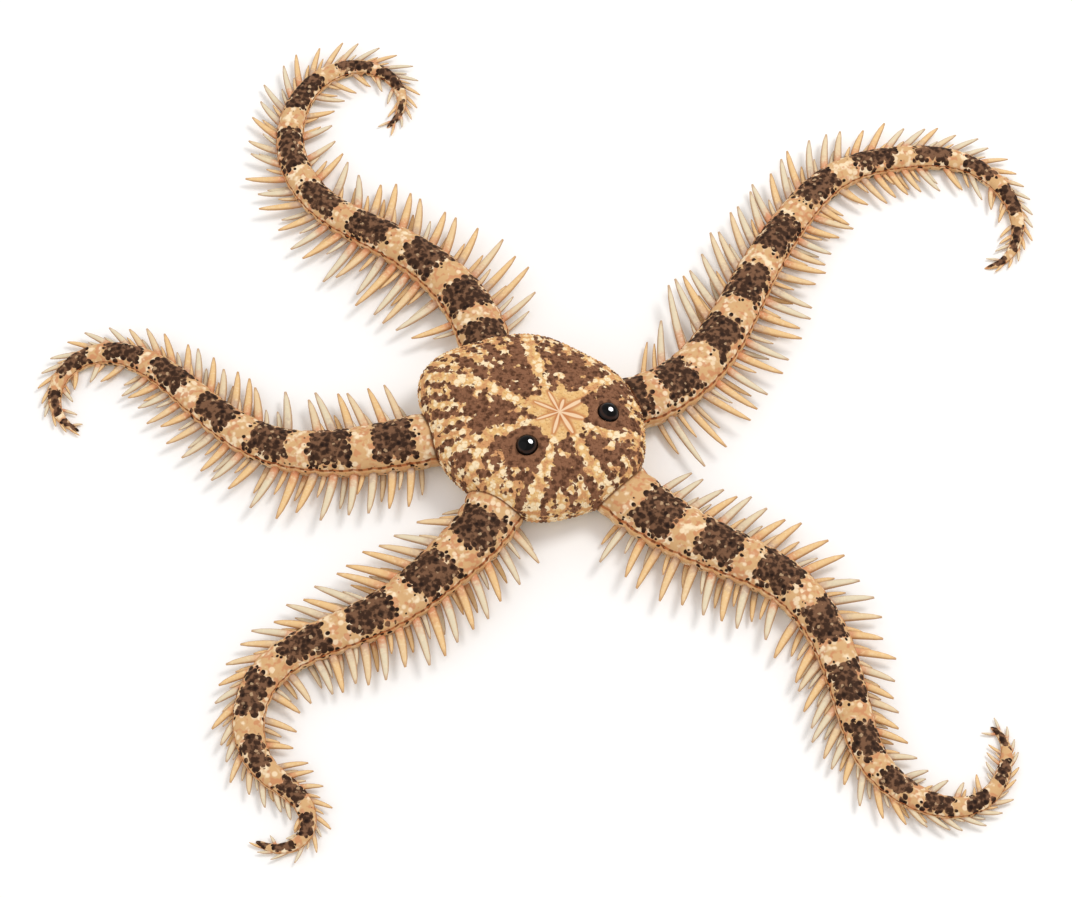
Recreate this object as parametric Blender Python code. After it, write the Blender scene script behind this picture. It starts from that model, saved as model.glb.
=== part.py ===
"""A brittle star lying on a flat floor, life size, arms curled at their ends.

The disc is a low, lopsided cushion with a flat underside and a five-rayed mouth.
Five arms leave its side, each a tapering tube with a flat sole that lies on the
floor, parted into five lengths. Each length carries its own side spines.
Lengths are in metres, +Z is up and the floor is z = 0.
"""

import math
import random
from collections import namedtuple

import bmesh
import bpy
import numpy as np
from mathutils import Vector

MM = 0.001
GAP = 0.3 * MM
WELD = 0.001 * MM

# The whole animal is placed so that its footprint is centred on the origin.
DISC_CENTRE = Vector((-1.62, -3.13, 0.0)) * MM

# The disc. Its rim is a smooth closed curve, this far from the centre in millimetres every
# 30 degrees, from +X over +Y: fuller at the back left, and drawn in where arms leave it.
RIM_RADII = (14.0, 13.2, 12.3, 13.3, 14.1, 15.9, 13.0, 12.0, 11.4, 12.3, 12.9, 14.6)
DISC_HEIGHT = 9.4 * MM
RIM_HEIGHT = 4.3 * MM
CROWN_OFFSET = Vector((3.4, -0.55, 0.0)) * MM
CROWN_FULLNESS = 2.3
BELLY_FULLNESS = 2.4
SOLE_SHARE = 0.72
DISC_SEGMENTS = 40
DISC_RINGS = 16
CROWN_TRIALS = 60
NORMAL_STEP = 0.4 * MM

# The mouth is a star with a ray under each arm and a jaw between each two rays.
MOUTH_REACH = 3.6 * MM
MOUTH_WAIST = 1.0 * MM
MOUTH_DEPTH = 1.6 * MM

# The two eye beads, by their places in plan from the disc's centre.
EYE_RADIUS = 1.45 * MM
EYE_SINK = 0.35 * MM
EYE_SEGMENTS = 12
EYE_RINGS = 8
EYES = {"eye_left": (-0.6 * MM, -5.05 * MM), "eye_right": (9.45 * MM, -0.25 * MM)}

# The arms. Bearings are the arm's direction in degrees from +X at each station along it,
# and TAPER is its width there as a share of its width at the disc.
STATIONS = (0.0, 0.12, 0.24, 0.36, 0.48, 0.6, 0.7, 0.8, 0.88, 0.94, 1.0)
TAPER = (1.0, 0.91, 0.8, 0.7, 0.61, 0.54, 0.46, 0.35, 0.26, 0.19, 0.08)
Arm = namedtuple("Arm", "root length half_width bearings")
ARMS = {
    "arm_back": Arm((-6.1, 14.0), 74.0, 3.35, (104, 126, 144, 148, 121, 89, 59, 11, -45, -92, -142)),
    "arm_right": Arm((13.8, 5.1), 84.0, 3.55, (20, 52, 65, 60, 50, 16, -3, -46, -84, -117, -174)),
    "arm_front_right": Arm((12.0, -8.7), 74.5, 3.8, (-44, -30, -27, -56, -76, -74, -41, 1, 55, 84, 141)),
    "arm_front_left": Arm(
        (-4.2, -9.5), 67.0, 3.8, (-111, -133, -139, -155, -149, -107, -70, -38, -92, -166, -223)
    ),
    "arm_left": Arm((-13.4, -0.6), 62.0, 3.6, (-166, -173, -186, -209, -223, -219, -197, -148, -100, -63, -16)),
}
ARM_FLATNESS = 0.75
ARM_SIDES = 8
ARM_INSIDE = 4.0 * MM
LENGTH_ENDS = (0.0, 0.3, 0.55, 0.76, 0.9, 1.0)
LENGTH_NAMES = ("root", "lower", "middle", "outer", "tip")
STEP_ALONG = 3.2 * MM
STEPS_MORE_AT_TIP = 1.2
FEWEST_STEPS = 3
END_SQUARING = 0.15 * MM

# The side spines stand at the arm's joints. Their reach in millimetres and their lean towards
# the arm's tip in degrees are given at the quarters of the arm, for its left and its right
# side as seen from its root. A row is its height on the arm's side, its rise, its share of the
# reach, its place between two joints, every how many joints it has one, and where it stops.
JOINT_SPACING = 2.0 * MM
JOINT_CROWDING = 1.15
QUARTERS = (0.0, 0.25, 0.5, 0.75, 1.0)
Side = namedtuple("Side", "reach lean")
SPINE_SIDES = {
    "arm_back": (
        Side((5.5, 7.4, 4.6, 5.2, 1.6), (-10, -4, 24, 58, 58)),
        Side((6.5, 6.2, 4.8, 3.6, 2.0), (20, 20, 24, 18, 65)),
    ),
    "arm_right": (
        Side((10.0, 7.0, 5.6, 3.8, 1.2), (28, 38, 36, 52, 72)),
        Side((7.5, 5.8, 4.6, 4.4, 1.2), (5, -4, 4, 36, 48)),
    ),
    "arm_front_right": (
        Side((3.8, 5.9, 4.2, 2.5, 1.5), (12, 22, 32, 24, 33)),
        Side((5.2, 6.0, 5.2, 3.2, 1.5), (4, 12, 42, 60, 70)),
    ),
    "arm_front_left": (
        Side((5.2, 6.4, 4.4, 3.3, 1.5), (28, 18, 0, 32, 80)),
        Side((4.6, 6.4, 4.8, 3.0, 1.1), (28, 27, 58, 52, 30)),
    ),
    "arm_left": (
        Side((5.5, 6.6, 4.3, 3.8, 1.1), (8, 6, 4, 24, 50)),
        Side((6.0, 5.5, 5.0, 4.0, 1.3), (8, 20, 36, 66, 78)),
    ),
}
SPINE_HALF_WIDTH = (0.5, 0.56, 0.57, 0.56, 0.53, 0.49, 0.45, 0.4, 0.37, 0.36, 0.35)
Row = namedtuple("Row", "height rise reach offset every stop")
SPINE_ROWS = (Row(0.8, 4.0, 1.0, 0.0, 1, 0.95), Row(0.36, 0.0, 0.6, 0.5, 2, 0.55))
SPINE_FLATNESS = 0.7
SPINE_ROOT_DEPTH = 0.35
SPINE_FROM_END = 0.8 * MM
SPINE_BEND = 0.05
SPINE_SIZES = (0.8, 1.0, 0.0)
SPINE_BELLY = 0.46
SPINE_TRIALS = (1.0, 0.9, 0.8, 0.7, 0.6, 0.5, 0.4)
SPINE_VARIATION = 0.1
SPINE_SAMPLES = 8
SKIN_TURNS = (0, 45, 90, 135, 180)
SKIN_CORE = 0.6
SPINE_SWING = 4.0
# On the inner side of a bend that brings spines closer than this share, every second is left out.
CROWDED = 0.22
BEND_STEP = 0.01
SPINE_SEED = 11
ROOM_TO_OTHERS = 0.33 * MM
ROOM_IN_ROW = 0.12 * MM

TAN = (0.68, 0.44, 0.2, 1.0)
BLACK = (0.01, 0.008, 0.008, 1.0)
SKIN_ROUGHNESS = 0.6
BEAD_ROUGHNESS = 0.05


def smooth(values, t):
    """The value at t of a smooth curve through values at STATIONS."""
    slopes = np.gradient(np.array(values, float), STATIONS)
    i = min(max(np.searchsorted(STATIONS, t, side="right") - 1, 0), len(STATIONS) - 2)
    span = STATIONS[i + 1] - STATIONS[i]
    u = (t - STATIONS[i]) / span
    ends = (2 * u**3 - 3 * u**2 + 1) * values[i] + (3 * u**2 - 2 * u**3) * values[i + 1]
    bends = (u**3 - 2 * u**2 + u) * slopes[i] + (u**3 - u**2) * slopes[i + 1]
    return float(ends + bends * span)


def at_quarters(values, t):
    """The value at t of a straight-sided line through values at QUARTERS."""
    return float(np.interp(t, QUARTERS, values))


class ArmLine:
    """The line of an arm's sole on the floor, from inside the disc to the tip."""

    PIECES = 600

    def __init__(self, arm):
        self.length = arm.length * MM
        self.half_width = arm.half_width * MM
        self.bearings = arm.bearings
        step = self.length / self.PIECES
        place = DISC_CENTRE + Vector((*arm.root, 0.0)) * MM
        self.places = [place]
        for i in range(self.PIECES):
            place = place + step * self.ahead((i + 0.5) / self.PIECES)
            self.places.append(place)

    def ahead(self, t):
        bearing = math.radians(smooth(self.bearings, min(max(t, 0.0), 1.0)))
        return Vector((math.cos(bearing), math.sin(bearing), 0.0))

    def left(self, t):
        ahead = self.ahead(t)
        return Vector((-ahead.y, ahead.x, 0.0))

    def bend(self, t):
        """How fast the arm turns left at t, in radians per metre."""
        turn = smooth(self.bearings, t + BEND_STEP) - smooth(self.bearings, t - BEND_STEP)
        return math.radians(turn) / (2 * BEND_STEP * self.length)

    def at(self, t):
        """The point at share t of the arm. Below 0 it runs straight back into the disc."""
        if t < 0:
            return self.places[0] + t * self.length * self.ahead(0.0)
        f = min(t, 1.0) * self.PIECES
        i = min(int(f), self.PIECES - 1)
        return self.places[i].lerp(self.places[i + 1], f - i)

    def half(self, t):
        return self.half_width * smooth(TAPER, min(max(t, 0.0), 1.0))


def put_in(collection, obj):
    for old in obj.users_collection:
        old.objects.unlink(obj)
    collection.objects.link(obj)
    return obj


def material(name, colour, roughness):
    made = bpy.data.materials.new(name)
    made.use_nodes = True
    shader = made.node_tree.nodes["Principled BSDF"]
    shader.inputs["Base Color"].default_value = colour
    shader.inputs["Roughness"].default_value = roughness
    shader.inputs["Metallic"].default_value = 0.0
    return made


def mesh_object(name, bm, collection):
    mesh = bpy.data.meshes.new(name)
    bm.to_mesh(mesh)
    bm.free()
    obj = bpy.data.objects.new(name, mesh)
    collection.objects.link(obj)
    return obj


def helper(obj):
    obj.hide_render = True
    obj.display_type = "WIRE"
    return obj


def profile(name, points, collection):
    """A closed outline that a curve carries along as its cross-section."""
    curve = bpy.data.curves.new(name, "CURVE")
    curve.dimensions = "2D"
    curve.fill_mode = "NONE"
    line = curve.splines.new("POLY")
    line.points.add(len(points) - 1)
    for point, (x, y) in zip(line.points, points):
        point.co = (x, y, 0.0, 1.0)
    line.use_cyclic_u = True
    obj = bpy.data.objects.new(name, curve)
    collection.objects.link(obj)
    return helper(obj)


def swept(name, places, sizes, section, collection):
    """A closed mesh of a section carried along places, sized by sizes, upright all the way."""
    curve = bpy.data.curves.new(name, "CURVE")
    curve.dimensions = "3D"
    curve.twist_mode = "Z_UP"
    curve.bevel_mode = "OBJECT"
    curve.bevel_object = section
    curve.use_fill_caps = True
    line = curve.splines.new("POLY")
    line.points.add(len(places) - 1)
    for point, place, size in zip(line.points, places, sizes):
        point.co = (*place, 1.0)
        point.radius = size
    obj = bpy.data.objects.new(name, curve)
    collection.objects.link(obj)
    bpy.context.view_layer.update()
    graph = bpy.context.evaluated_depsgraph_get()
    mesh = bpy.data.meshes.new_from_object(obj.evaluated_get(graph))
    bpy.data.objects.remove(obj)
    bm = bmesh.new()
    bm.from_mesh(mesh)
    bpy.data.meshes.remove(mesh)
    bmesh.ops.remove_doubles(bm, verts=bm.verts, dist=WELD)
    bmesh.ops.recalc_face_normals(bm, faces=bm.faces)
    return mesh_object(name, bm, collection)


def rim_radius(angle):
    """Distance from the disc's centre to its rim, in the direction of angle."""
    place = angle / math.tau % 1.0 * len(RIM_RADII)
    i = int(place)
    u = place - i
    a, b, c, d = (RIM_RADII[(i + step) % len(RIM_RADII)] for step in (-1, 0, 1, 2))
    bend = 2 * a - 5 * b + 4 * c - d + u * (3 * (b - c) + d - a)
    return (b + 0.5 * u * (c - a + u * bend)) * MM


def disc_point(angle, latitude, grow=0.0):
    """A point of the disc's skin. latitude runs from -90 degrees below to 90 at the crown."""
    out = math.cos(latitude)
    reach = out * (rim_radius(angle) + grow)
    x, y = reach * math.cos(angle), reach * math.sin(angle)
    if latitude >= 0:
        rise = (1.0 - out**CROWN_FULLNESS) ** (1.0 / CROWN_FULLNESS)
        crown = CROWN_OFFSET * (1.0 - out)
        z = RIM_HEIGHT + (DISC_HEIGHT + grow - RIM_HEIGHT) * rise
        return DISC_CENTRE + Vector((x, y, z)) + crown
    inward = max(0.0, (out - SOLE_SHARE) / (1.0 - SOLE_SHARE))
    drop = (1.0 - inward**BELLY_FULLNESS) ** (1.0 / BELLY_FULLNESS)
    return DISC_CENTRE + Vector((x, y, RIM_HEIGHT - (RIM_HEIGHT + grow) * drop))


def disc_body(name, collection, grow=0.0):
    """The cushion: a sphere's rings moved on to the disc's skin."""
    bm = bmesh.new()
    bmesh.ops.create_uvsphere(bm, u_segments=DISC_SEGMENTS, v_segments=DISC_RINGS, radius=1.0)
    for vert in bm.verts:
        angle = math.atan2(vert.co.y, vert.co.x)
        latitude = math.asin(max(-1.0, min(1.0, vert.co.z)))
        vert.co = disc_point(angle, latitude, grow)
    return mesh_object(name, bm, collection)


def crown_point(x, y):
    """The point of the disc's upper skin above a place in plan, given from the disc's centre."""
    aim = Vector((x, y))
    latitude = math.radians(90)
    angle = 0.0
    for _ in range(CROWN_TRIALS):
        out = math.cos(latitude)
        flat = aim - CROWN_OFFSET.xy * (1.0 - out)
        angle = math.atan2(flat.y, flat.x)
        share = min(0.999, flat.length / rim_radius(angle))
        latitude = 0.5 * latitude + 0.5 * math.acos(share)
    return disc_point(angle, latitude)


def eye_centre(x, y):
    """Centre of an eye bead, sunk below the skin along its normal."""
    step = NORMAL_STEP
    here = crown_point(x, y)
    across = crown_point(x + step, y) - crown_point(x - step, y)
    along = crown_point(x, y + step) - crown_point(x, y - step)
    return here - EYE_SINK * across.cross(along).normalized()


def bead(name, centre, radius, collection):
    bm = bmesh.new()
    bmesh.ops.create_uvsphere(bm, u_segments=EYE_SEGMENTS, v_segments=EYE_RINGS, radius=radius)
    bmesh.ops.translate(bm, verts=bm.verts, vec=centre)
    return mesh_object(name, bm, collection)


def mouth_star(name, collection):
    """The cutter for the mouth: a flat star with a ray towards each arm."""
    bearings = sorted(
        math.atan2(arm.root[1], arm.root[0]) % math.tau for arm in ARMS.values()
    )
    outline = []
    for i, bearing in enumerate(bearings):
        following = bearings[(i + 1) % len(bearings)]
        between = bearing + ((following - bearing) % math.tau) / 2
        outline.append((MOUTH_REACH * math.cos(bearing), MOUTH_REACH * math.sin(bearing)))
        outline.append((MOUTH_WAIST * math.cos(between), MOUTH_WAIST * math.sin(between)))
    bm = bmesh.new()
    verts = [bm.verts.new((x, y, -MOUTH_DEPTH)) for x, y in outline]
    face = bm.faces.new(verts)
    grown = bmesh.ops.extrude_face_region(bm, geom=[face])
    moved = [v for v in grown["geom"] if isinstance(v, bmesh.types.BMVert)]
    bmesh.ops.translate(bm, verts=moved, vec=(0, 0, 2 * MOUTH_DEPTH))
    bmesh.ops.recalc_face_normals(bm, faces=bm.faces)
    bmesh.ops.translate(bm, verts=bm.verts, vec=DISC_CENTRE)
    return mesh_object(name, bm, collection)


def apply_boolean(obj, operation, cutter=None, collection=None):
    modifier = obj.modifiers.new(operation.lower(), "BOOLEAN")
    modifier.operation = operation
    modifier.solver = "MANIFOLD"
    if cutter is not None:
        modifier.object = cutter
    else:
        modifier.operand_type = "COLLECTION"
        modifier.collection = collection
    bpy.context.view_layer.update()
    graph = bpy.context.evaluated_depsgraph_get()
    mesh = bpy.data.meshes.new_from_object(obj.evaluated_get(graph))
    obj.modifiers.remove(modifier)
    old = obj.data
    obj.data = mesh
    bpy.data.meshes.remove(old)


def keep_largest(obj):
    """Drops everything but the largest closed surface of a mesh."""
    bm = bmesh.new()
    bm.from_mesh(obj.data)
    seen, islands = set(), []
    for start in bm.verts:
        if start in seen:
            continue
        island, edge = {start}, [start]
        while edge:
            vert = edge.pop()
            for link in vert.link_edges:
                other = link.other_vert(vert)
                if other not in island:
                    island.add(other)
                    edge.append(other)
        seen |= island
        islands.append(island)
    largest = max(islands, key=len)
    bmesh.ops.delete(bm, geom=[v for v in bm.verts if v not in largest], context="VERTS")
    bm.to_mesh(obj.data)
    bm.free()


def arm_section(collection):
    """The arm's cross-section for a half width of 1: flat below, rounded above."""
    turn = math.tau / ARM_SIDES
    low = math.cos(turn / 2)
    points = []
    for i in range(ARM_SIDES):
        angle = -math.pi / 2 + (i + 0.5) * turn
        points.append((math.cos(angle), ARM_FLATNESS * (1.0 + math.sin(angle) / low)))
    widest = max(x for x, _ in points)
    return profile("arm_section", [(x / widest, y) for x, y in points], collection)


def spine_section(collection):
    """The spine's cross-section for a half width of 1: a flat diamond."""
    points = ((-1.0, 0.0), (0.0, -SPINE_FLATNESS), (1.0, 0.0), (0.0, SPINE_FLATNESS))
    return profile("spine_section", points, collection)


def shares_along(line, start, stop):
    """Shares of an arm from start to stop, closer together near the tip, with squared ends."""
    steps = round((stop - start) * line.length / STEP_ALONG * (1.0 + STEPS_MORE_AT_TIP * stop))
    steps = max(FEWEST_STEPS, steps)
    shares = [start + (stop - start) * i / steps for i in range(steps + 1)]
    squaring = END_SQUARING / line.length
    return [start, start + squaring, *shares[1:-1], stop - squaring, stop]


def length_index(t):
    """Which of the arm's lengths the share t lies in."""
    return max(i for i in range(len(LENGTH_NAMES)) if t >= LENGTH_ENDS[i] or i == 0)


class Crowd:
    """Where the arms' skins and the spines set so far are, so that the next spine stays clear."""

    EVERY = 4

    def __init__(self, lines):
        self.places, self.sizes, self.owners = [], [], []
        for arm_name, line in lines.items():
            for i in range(0, line.PIECES + 1, self.EVERY):
                self.add_skin(arm_name, line, i / line.PIECES)

    def add_skin(self, arm_name, line, t):
        """Points round the arm's skin, and a ball inside it, at share t."""
        half = line.half(t)
        axis = line.at(t) + Vector((0, 0, ARM_FLATNESS * half))
        across, up = line.left(t) * half, Vector((0, 0, ARM_FLATNESS * half))
        owner = (arm_name, length_index(t))
        for turn in SKIN_TURNS:
            side, rise = math.cos(math.radians(turn)), math.sin(math.radians(turn))
            self.add([axis + side * across + rise * up], [0.0], owner)
        self.add([axis], [SKIN_CORE * half], owner)

    def add(self, places, sizes, owner):
        self.places += [tuple(place) for place in places]
        self.sizes += list(sizes)
        self.owners += [owner] * len(places)

    def has_room(self, places, sizes, owner, same_node_skin):
        """Whether balls at places stay clear of everything that is not their own arm length."""
        for place, size in zip(places, sizes):
            out = place - DISC_CENTRE
            if out.xy.length < rim_radius(math.atan2(out.y, out.x)) + size + ROOM_TO_OTHERS:
                return False
        others = np.array(self.places)
        rooms = np.array(self.rooms(owner, same_node_skin)) + np.array(self.sizes)
        apart = np.linalg.norm(others[None] - np.array([tuple(p) for p in places])[:, None], axis=2)
        return bool(np.all(apart - np.array(sizes)[:, None] > rooms[None]))

    def rooms(self, owner, skin_count):
        """The room to keep from each point: none to the spine's own length of arm."""
        wide = [-1.0 if other == owner else ROOM_TO_OTHERS for other in self.owners[:skin_count]]
        spines = self.owners[skin_count:]
        return wide + [ROOM_IN_ROW if other == owner else ROOM_TO_OTHERS for other in spines]


def spine_line(line, t, side, lean, row, reach):
    """Root, belly and tip of a spine."""
    ahead, out = line.ahead(t), side * line.left(t)
    lean = math.radians(lean)
    rise = math.radians(row.rise)
    level = math.cos(lean) * out + math.sin(lean) * ahead
    heading = math.cos(rise) * level + Vector((0, 0, math.sin(rise)))
    half = line.half(t)
    height = row.height * ARM_FLATNESS * half
    root = line.at(t) + SPINE_ROOT_DEPTH * half * out + Vector((0, 0, height))
    length = reach + (1.0 - SPINE_ROOT_DEPTH) * half
    belly = root + SPINE_BELLY * length * heading
    tip = root + length * heading + SPINE_BEND * length * ahead
    return root, belly, tip


def spine_balls(spine, half_width, half):
    """Balls along the part of a spine that stands clear of the arm, and their radii."""
    root, belly, tip = spine
    first = (1.0 - SPINE_ROOT_DEPTH) * half / (tip - root).length
    places, sizes = [], []
    for i in range(SPINE_SAMPLES):
        s = first + (1.0 - first) * i / (SPINE_SAMPLES - 1)
        if s < SPINE_BELLY:
            places.append(root.lerp(belly, s / SPINE_BELLY))
            sizes.append(half_width)
        else:
            beyond = (s - SPINE_BELLY) / (1.0 - SPINE_BELLY)
            places.append(belly.lerp(tip, beyond))
            sizes.append(half_width * (1.0 - beyond))
    return places, sizes


def joints(line, row):
    """Shares of the arm at which a row has its spines, and whether each is a second one."""
    count = round(line.length / JOINT_SPACING)
    for i in range(0, count, row.every):
        t = 1.0 - (1.0 - (i + row.offset) / count) ** JOINT_CROWDING
        if t < row.stop:
            yield t, i // row.every % 2 == 1


def crowded(line, t, side, reach):
    """Whether a bend brings spines close together on this side, halfway along them."""
    return side * line.bend(t) * (line.half(t) + 0.5 * reach) > CROWDED


def kept_inside(line, t, lean):
    """t, moved so that a spine with this lean leaves the arm within its own length of it."""
    which = length_index(t)
    ahead = math.tan(math.radians(lean)) * (1.0 - SPINE_ROOT_DEPTH) * line.half(t)
    low = LENGTH_ENDS[which] + (SPINE_FROM_END + max(0.0, -ahead)) / line.length
    high = LENGTH_ENDS[which + 1] - (SPINE_FROM_END + max(0.0, ahead)) / line.length
    return min(max(t, low) if which else t, high)


def plan_spines(lines):
    """The spines of every length of arm, each as long as the room round it lets it be."""
    draw = random.Random(SPINE_SEED)
    crowd = Crowd(lines)
    skin_count = len(crowd.places)
    plan = {}
    for row in SPINE_ROWS:
        for arm_name, line in lines.items():
            for t, second in joints(line, row):
                owner = (arm_name, length_index(t))
                for side, habit in zip((1, -1), SPINE_SIDES[arm_name]):
                    if second and crowded(line, t, side, at_quarters(habit.reach, t) * MM):
                        continue
                    vary = 1.0 + SPINE_VARIATION * draw.uniform(-1, 1)
                    lean = at_quarters(habit.lean, t) + SPINE_SWING * draw.uniform(-1, 1)
                    half_width = smooth(SPINE_HALF_WIDTH, t) * MM
                    place = kept_inside(line, t, lean)
                    for trial in SPINE_TRIALS:
                        reach = at_quarters(habit.reach, t) * MM * row.reach * vary * trial
                        spine = spine_line(line, place, side, lean, row, reach)
                        places, sizes = spine_balls(spine, half_width, line.half(place))
                        if crowd.has_room(places, sizes, owner, skin_count):
                            crowd.add(places, sizes, owner)
                            plan.setdefault(owner, []).append((spine, half_width))
                            break
    return plan


def arm_length(name, line, which, spines, sections, cutters, collection):
    """One length of an arm with its spines."""
    start = LENGTH_ENDS[which] + GAP / 2 / line.length
    stop = LENGTH_ENDS[which + 1] - GAP / 2 / line.length
    if which == 0:
        start = -ARM_INSIDE / line.length
    if which == len(LENGTH_NAMES) - 1:
        stop = 1.0
    shares = shares_along(line, start, stop)
    places = [line.at(t) for t in shares]
    sizes = [line.half(t) for t in shares]
    core = swept(name, places, sizes, sections["arm"], collection)
    pieces = bpy.data.collections.new(name + "_spines")
    bpy.context.scene.collection.children.link(pieces)
    for i, (spine, half_width) in enumerate(spines):
        widths = [share * half_width for share in SPINE_SIZES]
        swept(f"{name}_spine_{i}", spine, widths, sections["spine"], pieces)
    apply_boolean(core, "UNION", collection=pieces)
    for obj in list(pieces.objects):
        bpy.data.objects.remove(obj)
    bpy.data.collections.remove(pieces)
    if which == 0:
        apply_boolean(core, "DIFFERENCE", cutter=cutters["disc"])
    keep_largest(core)
    return core


def main():
    for obj in list(bpy.data.objects):
        bpy.data.objects.remove(obj)
    animal = bpy.data.collections.new("brittle_star")
    cutter_store = bpy.data.collections.new("cutters")
    for collection in (animal, cutter_store):
        bpy.context.scene.collection.children.link(collection)
    skin = material("granular skin", TAN, SKIN_ROUGHNESS)
    bead_black = material("glossy bead", BLACK, BEAD_ROUGHNESS)
    sections = {"arm": arm_section(cutter_store), "spine": spine_section(cutter_store)}
    cutters = {"disc": helper(disc_body("disc_clearance", cutter_store, grow=GAP))}

    disc = disc_body("disc", animal)
    disc.data.materials.append(skin)
    for name, place in EYES.items():
        centre = eye_centre(*place)
        socket = helper(bead(name + "_socket", centre, EYE_RADIUS + GAP, cutter_store))
        apply_boolean(disc, "DIFFERENCE", cutter=socket)
        bead(name, centre, EYE_RADIUS, animal).data.materials.append(bead_black)
    apply_boolean(disc, "DIFFERENCE", cutter=helper(mouth_star("mouth_star", cutter_store)))

    lines = {arm_name: ArmLine(arm) for arm_name, arm in ARMS.items()}
    plan = plan_spines(lines)
    for arm_name, line in lines.items():
        for i, part in enumerate(LENGTH_NAMES):
            spines = plan.get((arm_name, i), [])
            name = f"{arm_name}_{part}"
            made = arm_length(name, line, i, spines, sections, cutters, animal)
            made.data.materials.append(skin)


main()
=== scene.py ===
"""Looks of a life-size banded brittle star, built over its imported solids.

One skin of the low disc and five arms, raised granules on the disc, rows of tapered
spines along the arms, two bead eyes, and a plain stage.
"""

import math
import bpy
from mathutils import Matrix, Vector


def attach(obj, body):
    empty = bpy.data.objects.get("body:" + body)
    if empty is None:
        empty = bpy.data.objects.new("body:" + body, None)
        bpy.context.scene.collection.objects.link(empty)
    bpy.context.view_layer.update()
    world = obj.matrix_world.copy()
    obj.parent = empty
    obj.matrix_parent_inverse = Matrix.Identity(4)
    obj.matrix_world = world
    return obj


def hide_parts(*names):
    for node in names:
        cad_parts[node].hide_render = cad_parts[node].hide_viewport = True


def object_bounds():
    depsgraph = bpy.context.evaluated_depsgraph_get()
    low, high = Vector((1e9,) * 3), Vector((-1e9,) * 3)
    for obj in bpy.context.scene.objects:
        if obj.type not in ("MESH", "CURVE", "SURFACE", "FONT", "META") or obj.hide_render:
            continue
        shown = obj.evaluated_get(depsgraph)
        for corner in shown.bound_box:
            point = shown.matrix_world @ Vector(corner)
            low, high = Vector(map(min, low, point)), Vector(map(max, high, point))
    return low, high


bl_info = {
    "name": "Banded brittle star",
    "version": (1, 0, 0),
    "blender": (4, 5, 0),
    "location": "View3D > Sidebar > Brittle star",
    "description": "Skin, granules, spines and eyes of a life-size brittle star",
    "category": "Add Mesh",
}

from collections import namedtuple

import bpy
import numpy as np
from mathutils import Vector, kdtree

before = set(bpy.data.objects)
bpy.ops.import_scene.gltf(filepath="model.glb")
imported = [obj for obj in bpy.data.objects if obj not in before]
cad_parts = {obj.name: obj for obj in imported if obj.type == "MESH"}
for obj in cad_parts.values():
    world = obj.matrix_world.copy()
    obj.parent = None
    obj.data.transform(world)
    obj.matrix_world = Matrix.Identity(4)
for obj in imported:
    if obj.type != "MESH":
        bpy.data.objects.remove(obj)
CAD_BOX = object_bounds()

MM = 0.001
TURN = 2.0 * math.pi

# The photograph's own frame, and where the disc's centre shows in it.
PHOTO_WIDTH = 1072
PHOTO_HEIGHT = 898
PIXELS_PER_MM = 8.0
DISC_PIXEL = (532.0, 430.0)
DISC_AIM_HEIGHT = 4.0
CAMERA_ELEVATION = 60.0
CAMERA_LENS = 100.0
CAMERA_SENSOR = 36.0

# The same values as the solids have, in millimetres and degrees. The rim's radii, every 30
# degrees from +X over +Y, were fitted to the photograph by a scratch script and then moved by
# hand, one of them by 2.9 mm and the rest by 0.2 mm at most.
DISC_CENTRE = np.array((-1.62, -3.13, 0.0))
RIM_RADII = np.array((14.0, 13.2, 12.3, 13.3, 14.1, 15.9, 13.0, 12.0, 11.4, 12.3, 12.9, 14.6))
DISC_HEIGHT = 9.4
RIM_HEIGHT = 4.3
CROWN_OFFSET = np.array((3.4, -0.55))
CROWN_FULLNESS = 2.3
BELLY_FULLNESS = 2.4
SOLE_SHARE = 0.72
MOUTH_REACH = 3.6
MOUTH_WAIST = 1.0
EYES = {"eye_left": (-0.6, -5.05), "eye_right": (9.45, -0.25)}
EYE_SINK = 0.35
CROWN_TRIALS = 60
FARTHEST_OUT = 0.999
NORMAL_STEP = 0.4

# The mouth is a little shallower than in the solids, with soft edges.
MOUTH_DEPTH = 1.5
MOUTH_RAY_SPREAD = 36
MOUTH_RAY_POINT = 1.6
MOUTH_EDGE = (0.5, 0.1)
# A raised rim lies round each eye: its height, its radius and its width.
EYE_RIM_HEIGHT = 0.2
EYE_RIM_RADIUS = 1.85
EYE_RIM_WIDTH = 0.3
# The disc's usual radius, for lengths along its skin.
DISC_RADIUS = 13.3

# Shares of an arm's length where its bearings and widths are given, and each width there as a
# share of the half width. The taper and the half widths were rounded by hand from widths that
# a scratch script measured in the photograph.
STATIONS = (0.0, 0.12, 0.24, 0.36, 0.48, 0.6, 0.7, 0.8, 0.88, 0.94, 1.0)
TAPER = (1.0, 0.91, 0.8, 0.7, 0.61, 0.54, 0.46, 0.35, 0.26, 0.19, 0.08)
ARM_FLATNESS = 0.75
# How far an arm runs on inside the disc.
ARM_INSIDE = 4.0

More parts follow.
